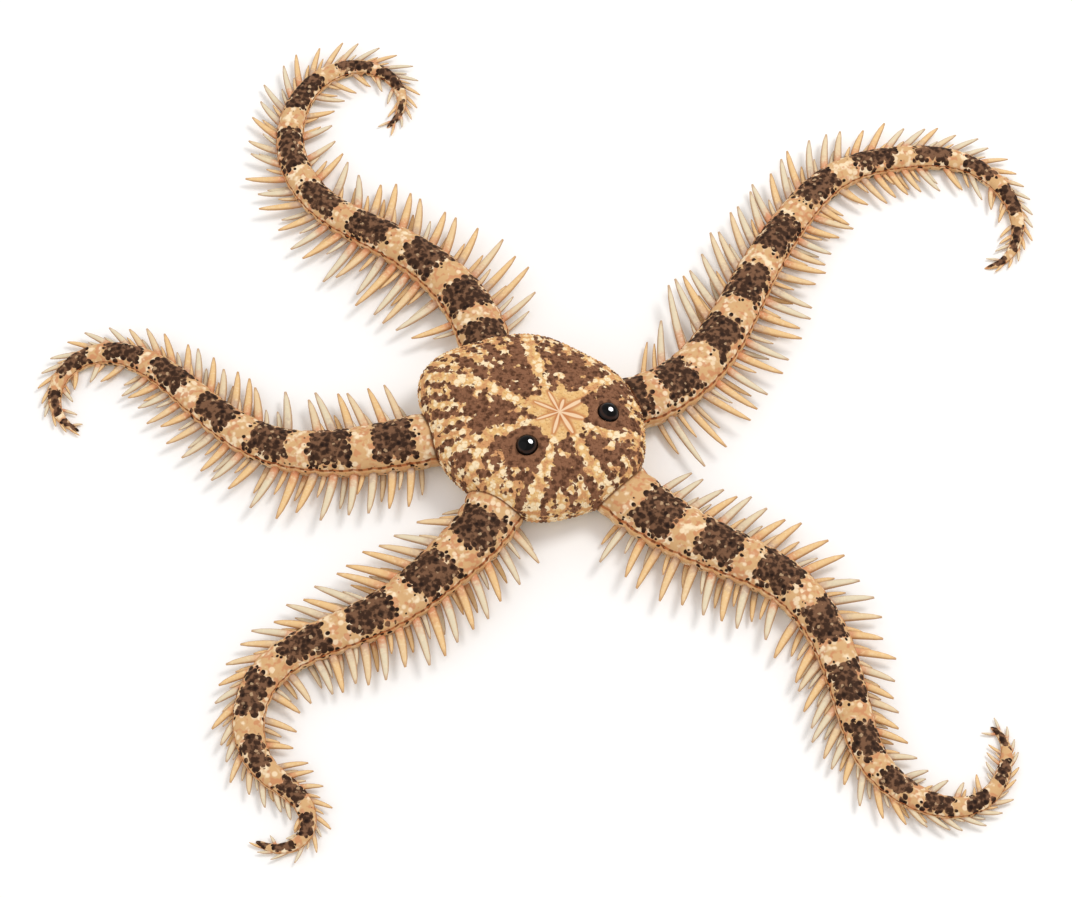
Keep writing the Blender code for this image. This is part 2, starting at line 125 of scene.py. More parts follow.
# An arm's root, length, half width, bearings at the stations, and where its dark bands lie.
# Roots, lengths and bearings were fitted to the photograph by a scratch script, and the bands
# were measured in it by another and moved by a few thousandths by hand.
Arm = namedtuple("Arm", "root length half_width bearings bands")
ARMS = {
    "arm_back": Arm(
        (-6.1, 14.0), 74.0, 3.35,
        (104, 126, 144, 148, 121, 89, 59, 11, -45, -92, -142),
        (-0.012, 0.082, 0.193, 0.31, 0.425, 0.552, 0.688, 0.805, 0.882, 0.966),
    ),
    "arm_right": Arm(
        (13.8, 5.1), 84.0, 3.55,
        (20, 52, 65, 60, 50, 16, -3, -46, -84, -117, -174),
        (-0.016, 0.054, 0.158, 0.267, 0.372, 0.487, 0.597, 0.692, 0.773, 0.849, 0.922, 0.98),
    ),
    "arm_front_right": Arm(
        (12.0, -8.7), 74.5, 3.8,
        (-44, -30, -27, -56, -76, -74, -41, 1, 55, 84, 141),
        (0.06, 0.171, 0.281, 0.394, 0.507, 0.609, 0.695, 0.769, 0.836, 0.905, 0.975),
    ),
    "arm_front_left": Arm(
        (-4.2, -9.5), 67.0, 3.8,
        (-111, -133, -139, -155, -149, -107, -70, -38, -92, -166, -223),
        (0.075, 0.196, 0.329, 0.461, 0.597, 0.712, 0.809, 0.883, 0.945, 0.99),
    ),
    "arm_left": Arm(
        (-13.4, -0.6), 62.0, 3.6,
        (-166, -173, -186, -209, -223, -219, -197, -148, -100, -63, -16),
        (0.057, 0.187, 0.311, 0.447, 0.581, 0.7, 0.815, 0.914, 0.986),
    ),
}
JOINT_SPACING = 2.0
JOINT_CROWDING = 1.15
LINE_PIECES = 900
BEND_STEP = 0.01
DARK_SHARE_AT_ROOT = 0.34
DARK_SHARE_AT_TIP = 0.37

# The arm's skin: rings at these shares of each joint, and section points at these angles in
# degrees, from one side to the top and from the other side to the sole's middle. The rest of
# a section mirrors them.
JOINT_RINGS = (0.0, 0.12, 0.3, 0.52, 0.74, 0.9)
MARGIN_ANGLE = 15
TOP_ANGLES = (0, 6, 11, MARGIN_ANGLE, 19, 26, 35, 47, 60, 75, 90)
UNDER_ANGLES = (198, 214, 228, 242, 256, 270)
# How far across the top the dark bands reach, the half width below which their lobes are
# finer, and how many times finer they are at most.
BAND_SHARE_ACROSS = 0.91
LOBED_FROM = 1.9
FINEST_LOBES = 3.5
# The tip rounds off over this share of the arm, in rings at these angles in degrees, and
# stops just short of a point.
TIP_SHARE = 0.016
TIP_ANGLES = (0, 20, 40, 58, 75, 90)
TIP_BLUNTNESS = 0.998
# Rings on the stretch that is inside the disc.
RINGS_INSIDE = 4
# Depths, heights and widths of the grooves and bulges are shares of the arm's half width or
# of a joint, apart from the margin groove's width, which is in degrees.
PLATE_GROOVE = 0.05
PLATE_GROOVE_WIDTH = 0.09
PLATE_GROOVE_AT_SIDE = 0.35
PLATE_SWELL = 0.015
PLATE_BOW = 0.3
PLATE_BOW_FROM = 2.0
PLATE_BOW_STOP = 0.99
MARGIN_GROOVE = 0.03
MARGIN_GROOVE_WIDTH = 3.0
SIDE_BULGE = 0.03
SIDE_BULGE_WIDTH = 0.06
JOINT_NARROWING = (1.0, 0.75)
UNDER_ROUNDNESS = 2 / 3
SOLE_RELIEF = 0.5

# The disc's skin: how many points round it and from crown to rim to sole.
DISC_ROUND = 300
DISC_TOP_RINGS = 62
DISC_UNDER_RINGS = 40

# Pale rays on the disc: direction in degrees at a few distances from the crown to the rim
# (0 to 1), and half width in millimetres at the same places. They were read off the photograph
# by eye, where a scratch script turned pixels into directions, and then adjusted by hand.
Ray = namedtuple("Ray", "distances directions half_widths")
RAYS = (
    Ray((0.12, 0.33, 1.0), (108, 98, 92), (0.63, 0.90, 0.96)),
    Ray((0.12, 0.4, 1.0), (32, 32, 29), (0.49, 0.70, 0.83)),
    Ray((0.12, 0.3, 1.0), (-32, -22, -6), (0.49, 0.69, 0.69)),
    Ray((0.12, 0.4, 1.0), (-51, -48, -46), (0.63, 0.83, 0.83)),
    Ray((0.12, 0.4, 1.0), (-88, -88, -90), (0.63, 0.83, 1.03)),
    Ray((0.12, 0.36, 1.0), (-146, -156, -157), (0.56, 0.76, 0.72)),
    Ray((0.12, 0.36, 1.0), (160, 152, 157), (0.63, 0.90, 0.72)),
    Ray((0.42, 0.64, 1.0), (-152, -138, -130), (0.63, 0.90, 0.96)),
    Ray((0.56, 0.7, 1.0), (-120, -118, -117), (0.56, 0.83, 0.90)),
    Ray((0.62, 0.75, 1.0), (-104, -104, -104), (0.49, 0.76, 0.83)),
    Ray((0.66, 0.8, 1.0), (-74, -73, -73), (0.49, 0.69, 0.76)),
    Ray((0.6, 0.75, 1.0), (-62, -60, -59), (0.49, 0.69, 0.76)),
    Ray((0.62, 0.78, 1.0), (-30, -31, -32), (0.4, 0.55, 0.6)),
    Ray((0.6, 0.78, 1.0), (8, 9, 10), (0.49, 0.69, 0.76)),
    Ray((0.56, 0.75, 1.0), (50, 50, 50), (0.49, 0.69, 0.69)),
    Ray((0.58, 0.75, 1.0), (68, 69, 70), (0.49, 0.69, 0.76)),
    Ray((0.5, 0.75, 1.0), (116, 115, 114), (0.49, 0.76, 0.76)),
    Ray((0.45, 0.7, 1.0), (134, 134, 136), (0.56, 0.76, 0.83)),
    Ray((0.5, 0.75, 1.0), (145, 146, 147), (0.49, 0.69, 0.69)),
    Ray((0.55, 0.75, 1.0), (172, 171, 170), (0.42, 0.56, 0.56)),
    Ray((0.5, 0.75, 1.0), (-176, -177, -178), (0.42, 0.6, 0.6)),
    Ray((0.55, 0.75, 1.0), (-166, -167, -168), (0.56, 0.76, 0.69)),
)
RAY_WIDTH = 0.86
# Short rows of beads fill the rim between the rays: how many places round the rim, how far
# from a ray one needs to be, in degrees, where they start, and their half widths.
ROW_PLACES = 46
ROW_ROOM = 4.5
ROW_STARTS = (0.5, 0.78)
ROW_TAPER = 0.15
ROW_SWING = 0.2
ROW_SEED = 5
ROW_HALF_WIDTHS = (0.25, 0.4, 0.5)
# The tan patch on the crown, with a wavy edge: its radius, and the waves' height and number.
CROWN_PATCH = 3.65
CROWN_WAVE = 0.55
CROWN_WAVES = 10
# The fine star on the crown, read off the photograph: direction in degrees and reach in
# millimetres of each arm.
STAR_ARMS = (
    (103, 3.3), (58, 1.9), (23, 3.5), (-14, 3.1), (-49, 3.4), (-88, 3.1), (-152, 3.0), (151, 3.5),
)
STAR_HALF_WIDTH = 0.19
STAR_WAIST = 0.35
STAR_SWELL_POWER = 1.4
# How far the plain brown round an eye reaches from the eye's centre.
HALO_RADIUS = 2.85
# Where the pale underside begins and is whole: minus the height on the disc, and minus the
# sine of the angle round an arm.
SOLE_FADE = (-2.2, -0.6)
ARM_SOLE_FADE = (0.1, 0.6)
# A marking's value where its shape is nowhere near.
FAR_OUTSIDE = -9.0

# Round lobes, one to a cell, that break up the edge of a dark patch: how fast one falls off
# from its middle, how high it starts, how much they differ, and where the edge is drawn.
LOBE_SLOPE = 1.5
LOBE_RISE = 0.62
LOBE_SPREAD = 0.7
LOBE_EDGE = (-0.03, 0.05)
FLECK_SLOPE = 6.0
MARGIN_ACROSS = 0.966
DASHES_PER_JOINT = 2

# Rows of spines: height on the arm's side, rise in degrees, share of the reach, place
# between two joints, every how many joints, where it stops, and share of the width.
Row = namedtuple("Row", "height rise reach offset every stop width")
SPINE_ROWS = (
    Row(0.74, 3.0, 1.0, 0.0, 1, 0.985, 1.0),
    Row(0.6, 2.0, 0.5, 1.5, 2, 0.95, 0.62),
    Row(0.34, 0.0, 0.6, 0.5, 2, 0.9, 0.7),
)
# How far the spines reach, in millimetres, and lean towards the tip, in degrees, at the
# quarters of each arm, for its left and its right side as seen from its root. They were typed
# by hand after a scratch script's measures of the photograph.
QUARTERS = (0.0, 0.25, 0.5, 0.75, 1.0)
Side = namedtuple("Side", "reach lean")
SPINE_SIDES = {
    "arm_back": (
        Side((5.5, 7.4, 4.6, 5.2, 1.6), (-10, -4, 24, 58, 58)),
        Side((6.5, 6.2, 4.8, 3.6, 2.0), (20, 20, 24, 18, 65)),
    ),
    "arm_right": (
        Side((10.0, 7.0, 5.6, 3.8, 1.2), (28, 38, 36, 52, 72)),
        Side((7.5, 5.8, 4.6, 4.4, 1.2), (5, -4, 4, 36, 48)),
    ),
    "arm_front_right": (
        Side((3.8, 5.9, 4.2, 2.5, 1.5), (12, 22, 32, 24, 33)),
        Side((5.2, 6.0, 5.2, 3.2, 1.5), (4, 12, 42, 60, 70)),
    ),
    "arm_front_left": (
        Side((5.2, 6.4, 4.4, 3.3, 1.5), (28, 18, 0, 32, 80)),
        Side((4.6, 6.4, 4.8, 3.0, 1.1), (28, 27, 58, 52, 30)),
    ),
    "arm_left": (
        Side((5.5, 6.6, 4.3, 3.8, 1.1), (8, 6, 4, 24, 50)),
        Side((6.0, 5.5, 5.0, 4.0, 1.3), (8, 20, 36, 66, 78)),
    ),
}
# A spine's half width at the stations of the arm, how far out from the arm's middle its root
# sits as a share of the arm's half width, and its width along it as a share of its own.
SPINE_HALF_WIDTH = (0.5, 0.58, 0.6, 0.58, 0.54, 0.5, 0.44, 0.37, 0.29, 0.23, 0.18)
SPINE_ROOT_DEPTH = 0.6
SPINE_PROFILE = (
    (0.0, 0.86), (0.2, 1.0), (0.4, 0.98), (0.6, 0.86), (0.8, 0.67), (0.93, 0.48), (1.0, 0.24),
)
SPINE_FLATNESS = 0.62
SPINE_VARIATION = 0.12
SPINE_SWING = 6.0
SPINE_RISE_SWING = 0.5
SPINE_SEED = 11
# A spine is left out where it isn't this far clear of the disc's rim, half a millimetre out
# from the arm's side.
SPINE_BARE = 0.5
SPINE_RIM_GAP = 0.4
# Every second spine is left out where a bend brings those on its inner side closer together
# by more than the first share. The rest reach no farther than the second share of the way to
# the bend's centre, but keep at least the third share of their own reach.
CROWDED = 0.22
CROWDED_SHARE = 0.62
SHORTEST_SHARE = 0.3
FIRST_SPINE = 0.012
# How far outside the box of the solids a spine may reach.
BOX_MARGIN = 0.6

# Granules: least distance and radius in millimetres, most of them to a square metre, and the
# smallest and largest one's share of the radius. They keep clear of the eyes, the underside,
# the star and the arms' roots.
GRANULE_SPACING = 0.445
GRANULE_RADIUS = 0.2
GRANULE_DENSITY = 2.0e7
GRANULE_SIZES = (0.75, 1.15)
GRANULE_EYE_GAP = 1.95
GRANULE_STOP = 1.18
GRANULE_STAR_GAP = 0.35
ROOT_STATIONS = np.linspace(-0.05, 0.06, 12)
ROOT_CLEARANCE = 1.08

# The bake map: the size of a piece's patch, the disc's place, and the arms' strips.
BAKE_PATCH = 0.003
BAKE_DISC = (0.26, 0.74)
BAKE_DISC_REACH = 0.12
BAKE_STRIP_START, BAKE_STRIP_LENGTH = 0.03, 0.94
BAKE_STRIP_FIRST, BAKE_STRIP_PITCH, BAKE_STRIP_HALF = 0.05, 0.085, 0.035

# Lamps: place and width in metres, and power in watts. The catch lamp lights only the eyes'
# gloss, for their white gleam.
Lamp = namedtuple("Lamp", "place width power")
LAMPS = {
    "key": Lamp((0.3, 0.2, 0.5), 0.22, 1.5),
    "fill": Lamp((-0.45, -0.2, 0.4), 1.0, 1.1),
    "catch": Lamp((0.28, 0.19, 0.47), 0.46, 60.0),
}
# The collection of what the catch lamp lights.
SHINY = "shiny eyes"
ROOM_STRENGTH = 0.75
WHITE = (1.0, 1.0, 1.0, 1.0)
FLOOR_DROP = 0.02
NEAREST_SHOWN = 0.01

# Kinds of node that come up often.
MATH = "ShaderNodeMath"
VECTOR = "ShaderNodeVectorMath"
RANGE = "ShaderNodeMapRange"
COMBINE = "ShaderNodeCombineXYZ"
STORE = "GeometryNodeStoreNamedAttribute"


def linear(hex_colour):
    """An sRGB hex colour as the linear numbers that Blender's sockets hold."""
    channels = [int(hex_colour[i:i + 2], 16) / 255 for i in (1, 3, 5)]
    return [c / 12.92 if c <= 0.04045 else ((c + 0.055) / 1.055) ** 2.4 for c in channels]


def colour_property(name, hex_colour, description):
    return bpy.props.FloatVectorProperty(
        name=name, description=description, subtype="COLOR", size=3, min=0.0, max=1.0,
        default=linear(hex_colour),
    )


def size_property(name, default, description):
    """A length in millimetres, kept in metres."""
    return bpy.props.FloatProperty(
        name=name, description=description, default=default * MM, min=0.0,
        subtype="DISTANCE", unit="LENGTH", precision=5,
    )


class StarColours(bpy.types.PropertyGroup):
    """Colours of the brittle star."""

    band_dark: colour_property("Dark band", "#3d281c", "Dark bands round the arms")
    band_brown: colour_property("Band brown", "#7d5941", "Lighter brown within the dark bands")
    band_black: colour_property("Band dots", "#241610", "Dots in and along the dark bands")
    band_fleck: colour_property("Band flecks", "#bd9c78", "Pale flecks inside the dark bands")
    band_pale: colour_property("Pale band", "#d2a877", "Pale bands between the dark ones")
    blotch: colour_property("Blotches", "#c98a60", "Pink-orange blotches of the pale bands")
    cream: colour_property("Cream spots", "#f3dcb9", "Cream spots and beads")
    bead: colour_property("Disc beads", "#f4deb8", "Palest granules of the disc")
    margin: colour_property("Margin line", "#b5683a", "Line along the edges of the arm's top")
    margin_side: colour_property("Arm sides", "#e2b27a", "Sides of the arms below the margin line")
    # Dark brown of the margin dashes, also laid on the arms as painted shade in the crease where they meet
    # the disc.
    dash_and_crease_shade: colour_property("Margin dashes", "#6a3a20", "Dashes of the margin line")
    disc_brown: colour_property("Disc patches", "#895e44", "Brown patches of the disc")
    disc_deep: colour_property("Deep brown", "#583826", "Darker brown of the disc's patches")
    disc_tan: colour_property("Disc tan", "#e0b679", "Tan ground of the disc's crown and rays")
    star_pink: colour_property("Crown star", "#f0d2ae", "Fine star at the disc's crown")
    underside: colour_property("Underside", "#e9d3aa", "Pale underside")
    spine_amber: colour_property("Amber spines", "#e6bf88", "Warm spines")
    spine_cream: colour_property("Cream spines", "#ddceb0", "Greyish cream spines")
    spine_root: colour_property("Warm spine root", "#d38f66", "Root of the warm spines")
    spine_root_grey: colour_property("Grey spine root", "#bba08c", "Root of the cream spines")
    spine_edge: colour_property("Spine edge", "#b07a4a", "Edges and tips of the spines")
    eye_black: colour_property("Eye", "#060404", "Black of the eyes")
    eye_ring: colour_property("Eye ring", "#35221a", "Brown ring of the eye")
    floor: colour_property("Floor", "#f8f6f4", "Plain floor")


class StarSizes(bpy.types.PropertyGroup):
    """Sizes of the brittle star's dressing."""

    spine_reach: bpy.props.FloatProperty(
        name="Spine length", description="Length of the spines against their usual length",
        default=1.0, min=0.2, max=1.2, subtype="FACTOR",
    )
    spine_girth: bpy.props.FloatProperty(
        name="Spine width", description="Width of the spines against their usual width",
        default=1.0, min=0.3, max=1.5, subtype="FACTOR",
    )
    spine_flatness: bpy.props.FloatProperty(
        name="Spine flatness", description="Thickness of a spine as a share of its width",
        default=SPINE_FLATNESS, min=0.2, max=1.0, subtype="FACTOR",
    )
    granule_spacing: size_property("Granule spacing", GRANULE_SPACING, "Least distance between granules")
    granule_radius: size_property("Granule radius", GRANULE_RADIUS, "Radius of a granule")
    eye_radius: size_property("Eye radius", 1.45, "Radius of an eye bead")
    floor_size: size_property("Floor size", 2400.0, "Side of the square floor")


# Shapes


def smooth(values, t):
    """The values at t of a smooth curve through values at STATIONS."""
    stations, values = np.array(STATIONS), np.array(values, float)
    slopes = np.gradient(values, stations)
    t = np.clip(t, 0.0, 1.0)
    i = np.clip(np.searchsorted(stations, t, side="right") - 1, 0, len(stations) - 2)
    span = stations[i + 1] - stations[i]
    u = (t - stations[i]) / span
    ends = (2 * u**3 - 3 * u**2 + 1) * values[i] + (3 * u**2 - 2 * u**3) * values[i + 1]
    bends = (u**3 - 2 * u**2 + u) * slopes[i] + (u**3 - u**2) * slopes[i + 1]
    return ends + bends * span


class ArmLine:
    """The line of an arm's sole on the floor, in millimetres."""

    def __init__(self, arm):
        self.arm = arm
        middles = (np.arange(LINE_PIECES) + 0.5) / LINE_PIECES
        steps = self.ahead(middles) * arm.length / LINE_PIECES
        start = DISC_CENTRE + np.array((*arm.root, 0.0))
        self.places = start + np.vstack([np.zeros((1, 3)), np.cumsum(steps, axis=0)])
        self.shares = np.linspace(0.0, 1.0, LINE_PIECES + 1)
        self.joints = round(arm.length / JOINT_SPACING)

    def ahead(self, t):
        bearing = np.radians(smooth(self.arm.bearings, t))
        return np.stack([np.cos(bearing), np.sin(bearing), np.zeros_like(bearing)], -1)

    def left(self, t):
        ahead = self.ahead(t)
        return np.stack([-ahead[..., 1], ahead[..., 0], ahead[..., 2]], -1)

    def at(self, t):
        t = np.asarray(t, float)
        on = np.stack([np.interp(t, self.shares, self.places[:, k]) for k in range(3)], -1)
        before = np.minimum(t, 0.0)[..., None] * self.arm.length
        return on + before * self.ahead(np.zeros_like(t))

    def half(self, t):
        return self.arm.half_width * smooth(TAPER, t)

    def joint_share(self, joint):
        """Share of the arm at a joint, which may be a fraction."""
        return 1.0 - (1.0 - np.asarray(joint, float) / self.joints) ** JOINT_CROWDING

    def bend(self, t):
        """How fast the arm turns left at t, per millimetre."""
        turn = smooth(self.arm.bearings, t + BEND_STEP) - smooth(self.arm.bearings, t - BEND_STEP)
        return np.radians(turn) / (2 * BEND_STEP * self.arm.length)

    def band(self, t):
        """How far inside a dark band t lies, in millimetres. Outside it is negative."""
        centres = np.array(self.arm.bands)
        periods = np.gradient(centres) * self.arm.length
        shares = np.interp(centres, (0.0, 1.0), (DARK_SHARE_AT_ROOT, DARK_SHARE_AT_TIP))
        apart = np.abs(np.asarray(t)[..., None] - centres) * self.arm.length
        return np.max(shares * periods - apart, axis=-1)


LINES = {name: ArmLine(arm) for name, arm in ARMS.items()}


def rim_radius(angle):
    """Distance from the disc's centre to its rim: a smooth closed curve through RIM_RADII."""
    place = np.asarray(angle) / TURN % 1.0 * len(RIM_RADII)
    i = np.floor(place).astype(int)
    u = place - i
    a, b, c, d = (RIM_RADII[(i + step) % len(RIM_RADII)] for step in (-1, 0, 1, 2))
    bend = 2 * a - 5 * b + 4 * c - d + u * (3 * (b - c) + d - a)
    return b + 0.5 * u * (c - a + u * bend)


def disc_points(angle, latitude):
    """Points of the disc's skin from the disc's centre. Latitude is 90 degrees at the crown."""
    out = np.cos(latitude)
    reach = out * rim_radius(angle)
    flat = np.stack([reach * np.cos(angle), reach * np.sin(angle)], -1)
    rise = (1.0 - out**CROWN_FULLNESS) ** (1.0 / CROWN_FULLNESS)
    inward = np.clip((out - SOLE_SHARE) / (1.0 - SOLE_SHARE), 0.0, 1.0)
    drop = (1.0 - inward**BELLY_FULLNESS) ** (1.0 / BELLY_FULLNESS)
    above = latitude >= 0
    z = np.where(above, RIM_HEIGHT + (DISC_HEIGHT - RIM_HEIGHT) * rise, RIM_HEIGHT * (1.0 - drop))
    shift = np.where(above, 1.0 - out, 0.0)[..., None] * CROWN_OFFSET
    return np.concatenate([flat + shift, z[..., None]], -1)


def crown_point(x, y):
    """The point of the upper skin above a place in plan, given from the disc's centre."""
    latitude, angle = math.radians(90), 0.0
    for _ in range(CROWN_TRIALS):
        out = math.cos(latitude)
        flat = np.array((x, y)) - CROWN_OFFSET * (1.0 - out)
        angle = math.atan2(flat[1], flat[0])
        share = min(FARTHEST_OUT, np.linalg.norm(flat) / rim_radius(angle))
        latitude = 0.5 * latitude + 0.5 * math.acos(share)
    return disc_points(np.array(angle), np.array(latitude))


def eye_place(x, y):
    """Centre of an eye bead from the disc's centre, and the skin's normal there."""
    across = crown_point(x + NORMAL_STEP, y) - crown_point(x - NORMAL_STEP, y)
    along = crown_point(x, y + NORMAL_STEP) - crown_point(x, y - NORMAL_STEP)
    normal = np.cross(across, along)
    normal /= np.linalg.norm(normal)
    return crown_point(x, y) - EYE_SINK * normal, normal


def turn_apart(a, b):
    """Angle between two directions in radians, at most half a turn."""
    return np.abs((a - b + math.pi) % TURN - math.pi)


def step_up(x, low, high):
    """0 below low, 1 above high, smooth between."""
    u = np.clip((x - low) / (high - low), 0.0, 1.0)
    return u * u * (3 - 2 * u)


def placed(name, data):
    """An object in the scene that shows the data."""
    obj = bpy.data.objects.new(name, data)
    bpy.context.scene.collection.objects.link(obj)
    return obj


def mesh_from(name, points_mm, faces, attributes):
    """A mesh object from points in millimetres, with its attributes."""
    mesh = bpy.data.meshes.new(name)
    mesh.from_pydata(points_mm * MM, [], faces)
    mesh.shade_smooth()
    for key, values in attributes.items():
        set_attribute(mesh, key, values)
    return placed(name, mesh)


def set_attribute(mesh, name, values):
    values = np.asarray(values, np.float32)
    kind, field = ("FLOAT", "value") if values.ndim == 1 else ("FLOAT_VECTOR", "vector")
    layer = mesh.attributes.new(name, kind, "POINT")
    layer.data.foreach_set(field, values.ravel())


def grid_faces(rings, around):
    """Quads between closed rings of points."""
    faces = []
    for ring in range(rings - 1):
        for k in range(around):
            a, b = ring * around + k, ring * around + (k + 1) % around
            faces.append((a, b, b + around, a + around))
    return faces


def ball_faces(rings, around):
    """Faces of a closed ball of rings, whose last two points are its poles."""
    faces = [tuple(reversed(face)) for face in grid_faces(rings, around)]
    first_pole, last_ring = rings * around, (rings - 1) * around
    for k in range(around):
        after = (k + 1) % around
        faces.append((first_pole, k, after))
        faces.append((first_pole + 1, last_ring + after, last_ring + k))
    return faces


def near_middle(away, width):
    """1 where away is 0, fading on both sides within a few widths."""
    return np.exp(-((away / width) ** 2))


# Markings


def rim_rows():
    """Short rays at the rim, where there is room between the long ones."""
    draw = np.random.default_rng(ROW_SEED)
    rows = []
    for i in range(ROW_PLACES):
        direction = 360.0 * (i + draw.uniform(-ROW_SWING, ROW_SWING)) / ROW_PLACES - 180.0
        start = draw.uniform(*ROW_STARTS)
        apart = min(abs((direction - ray.directions[-1] + 180.0) % 360.0 - 180.0) for ray in RAYS)
        if apart > ROW_ROOM:
            rows.append(Ray((start, start + ROW_TAPER, 1.0), (direction,) * 3, ROW_HALF_WIDTHS))
    return rows


def disc_markings(angle, latitude, points):
    """The disc's markings at its points, which the skin and the granules share."""
    distance = np.clip(1.0 - latitude / math.radians(90), 0.0, 2.0)
    ray = np.full(angle.shape, FAR_OUTSIDE)
    for one in (*RAYS, *rim_rows()):
        direction = np.radians(np.interp(distance, one.distances, one.directions))
        width = RAY_WIDTH * np.interp(distance, one.distances, one.half_widths)
        aside = turn_apart(angle, direction) * np.cos(latitude) * rim_radius(angle)
        before = np.maximum(0.0, one.distances[0] - distance) * DISC_RADIUS
        ray = np.maximum(ray, width - np.hypot(aside, before))
    crown = np.linalg.norm(points[:, :2] - CROWN_OFFSET, axis=1)
    tan = CROWN_PATCH + CROWN_WAVE * np.cos(CROWN_WAVES * angle) - crown
    star = np.full(angle.shape, FAR_OUTSIDE)
    for direction, reach in STAR_ARMS:
        aside = turn_apart(angle, math.radians(direction))
        off = np.where(aside < math.pi / 2, crown * np.sin(np.minimum(aside, math.pi / 2)), crown)
        swell = np.sin(math.pi * np.minimum(1.0, crown / reach) ** STAR_SWELL_POWER)
        width = STAR_HALF_WIDTH * (STAR_WAIST + (1.0 - STAR_WAIST) * swell)
        star = np.maximum(star, np.minimum(width - off, reach - crown))
    halo = np.full(angle.shape, FAR_OUTSIDE)
    for place in EYES.values():
        centre, _ = eye_place(*place)
        halo = np.maximum(halo, HALO_RADIUS - np.linalg.norm(points - centre, axis=1))
    return {
        "ray": ray, "tan": tan, "star": star, "halo": halo, "rim": distance,
        "sole": step_up(-points[:, 2], *SOLE_FADE),
        "root_uv": disc_bake_place(angle, distance),
    }


def disc_bake_place(angle, distance):
    """Where a point of the disc lies on the bake map."""
    reach = BAKE_DISC_REACH * distance
    u, v = BAKE_DISC[0] + reach * np.cos(angle), BAKE_DISC[1] + reach * np.sin(angle)
    return np.stack([u, v, np.zeros_like(angle)], -1)


def arm_bake_place(index, t, across):
    """Where a place on an arm lies on the bake map: one strip for each arm."""
    u = BAKE_STRIP_START + BAKE_STRIP_LENGTH * min(max(t, 0.0), 1.0)
    v = BAKE_STRIP_FIRST + BAKE_STRIP_PITCH * index + BAKE_STRIP_HALF * across
    return np.array((u, v, 0.0))


# Pieces


def disc_skin():
    """Points, faces and markings of the disc's skin."""
    top = np.radians(np.linspace(90, 0, DISC_TOP_RINGS + 1)[1:])
    under = np.radians(np.linspace(0, -90, DISC_UNDER_RINGS + 1)[1:-1])
    latitudes = np.concatenate([top, under])
    angles = np.linspace(-math.pi, math.pi, DISC_ROUND, endpoint=False)
    latitude, angle = [a.ravel() for a in np.meshgrid(latitudes, angles, indexing="ij")]
    latitude = np.concatenate([latitude, np.radians((90.0, -90.0))])
    angle = np.concatenate([angle, (0.0, 0.0)])
    points = disc_points(angle, latitude)
    points[:, 2] += mouth_rise(points, latitude)
    for place in EYES.values():
        centre, normal = eye_place(*place)
        past_rim = np.linalg.norm(points - centre, axis=1) - EYE_RIM_RADIUS
        points += EYE_RIM_HEIGHT * near_middle(past_rim, EYE_RIM_WIDTH)[:, None] * normal
    faces = ball_faces(len(latitudes), DISC_ROUND)
    return points, faces, disc_markings(angle, latitude, points)


def mouth_rise(points, latitude):
    """How far the sole is raised into the mouth, a star with a ray under each arm."""
    bearings = sorted(math.atan2(arm.root[1], arm.root[0]) for arm in ARMS.values())
    angle = np.arctan2(points[:, 1], points[:, 0])
    apart = np.min([turn_apart(angle, b) for b in bearings], axis=0)
    toward = np.clip(1.0 - apart / math.radians(MOUTH_RAY_SPREAD), 0.0, 1.0)
    edge = MOUTH_WAIST + (MOUTH_REACH - MOUTH_WAIST) * toward**MOUTH_RAY_POINT
    away = np.linalg.norm(points[:, :2], axis=1)
    depth = MOUTH_DEPTH * (1.0 - step_up(away, edge - MOUTH_EDGE[0], edge + MOUTH_EDGE[1]))
    return np.where(latitude < 0, depth, 0.0)


def section_angles():
    """Angles round an arm's section, in radians."""
    over = list(TOP_ANGLES) + [180 - a for a in reversed(TOP_ANGLES[:-1])]
    below = list(UNDER_ANGLES) + [540 - a for a in reversed(UNDER_ANGLES[:-1])]
    return np.radians(over + below)


def tip_taper(shares):
    """1 along an arm, and less where its tip rounds off."""
    past = np.clip((shares - 1.0 + TIP_SHARE) / TIP_SHARE, 0.0, TIP_BLUNTNESS)
    return np.sqrt(1.0 - past**2)


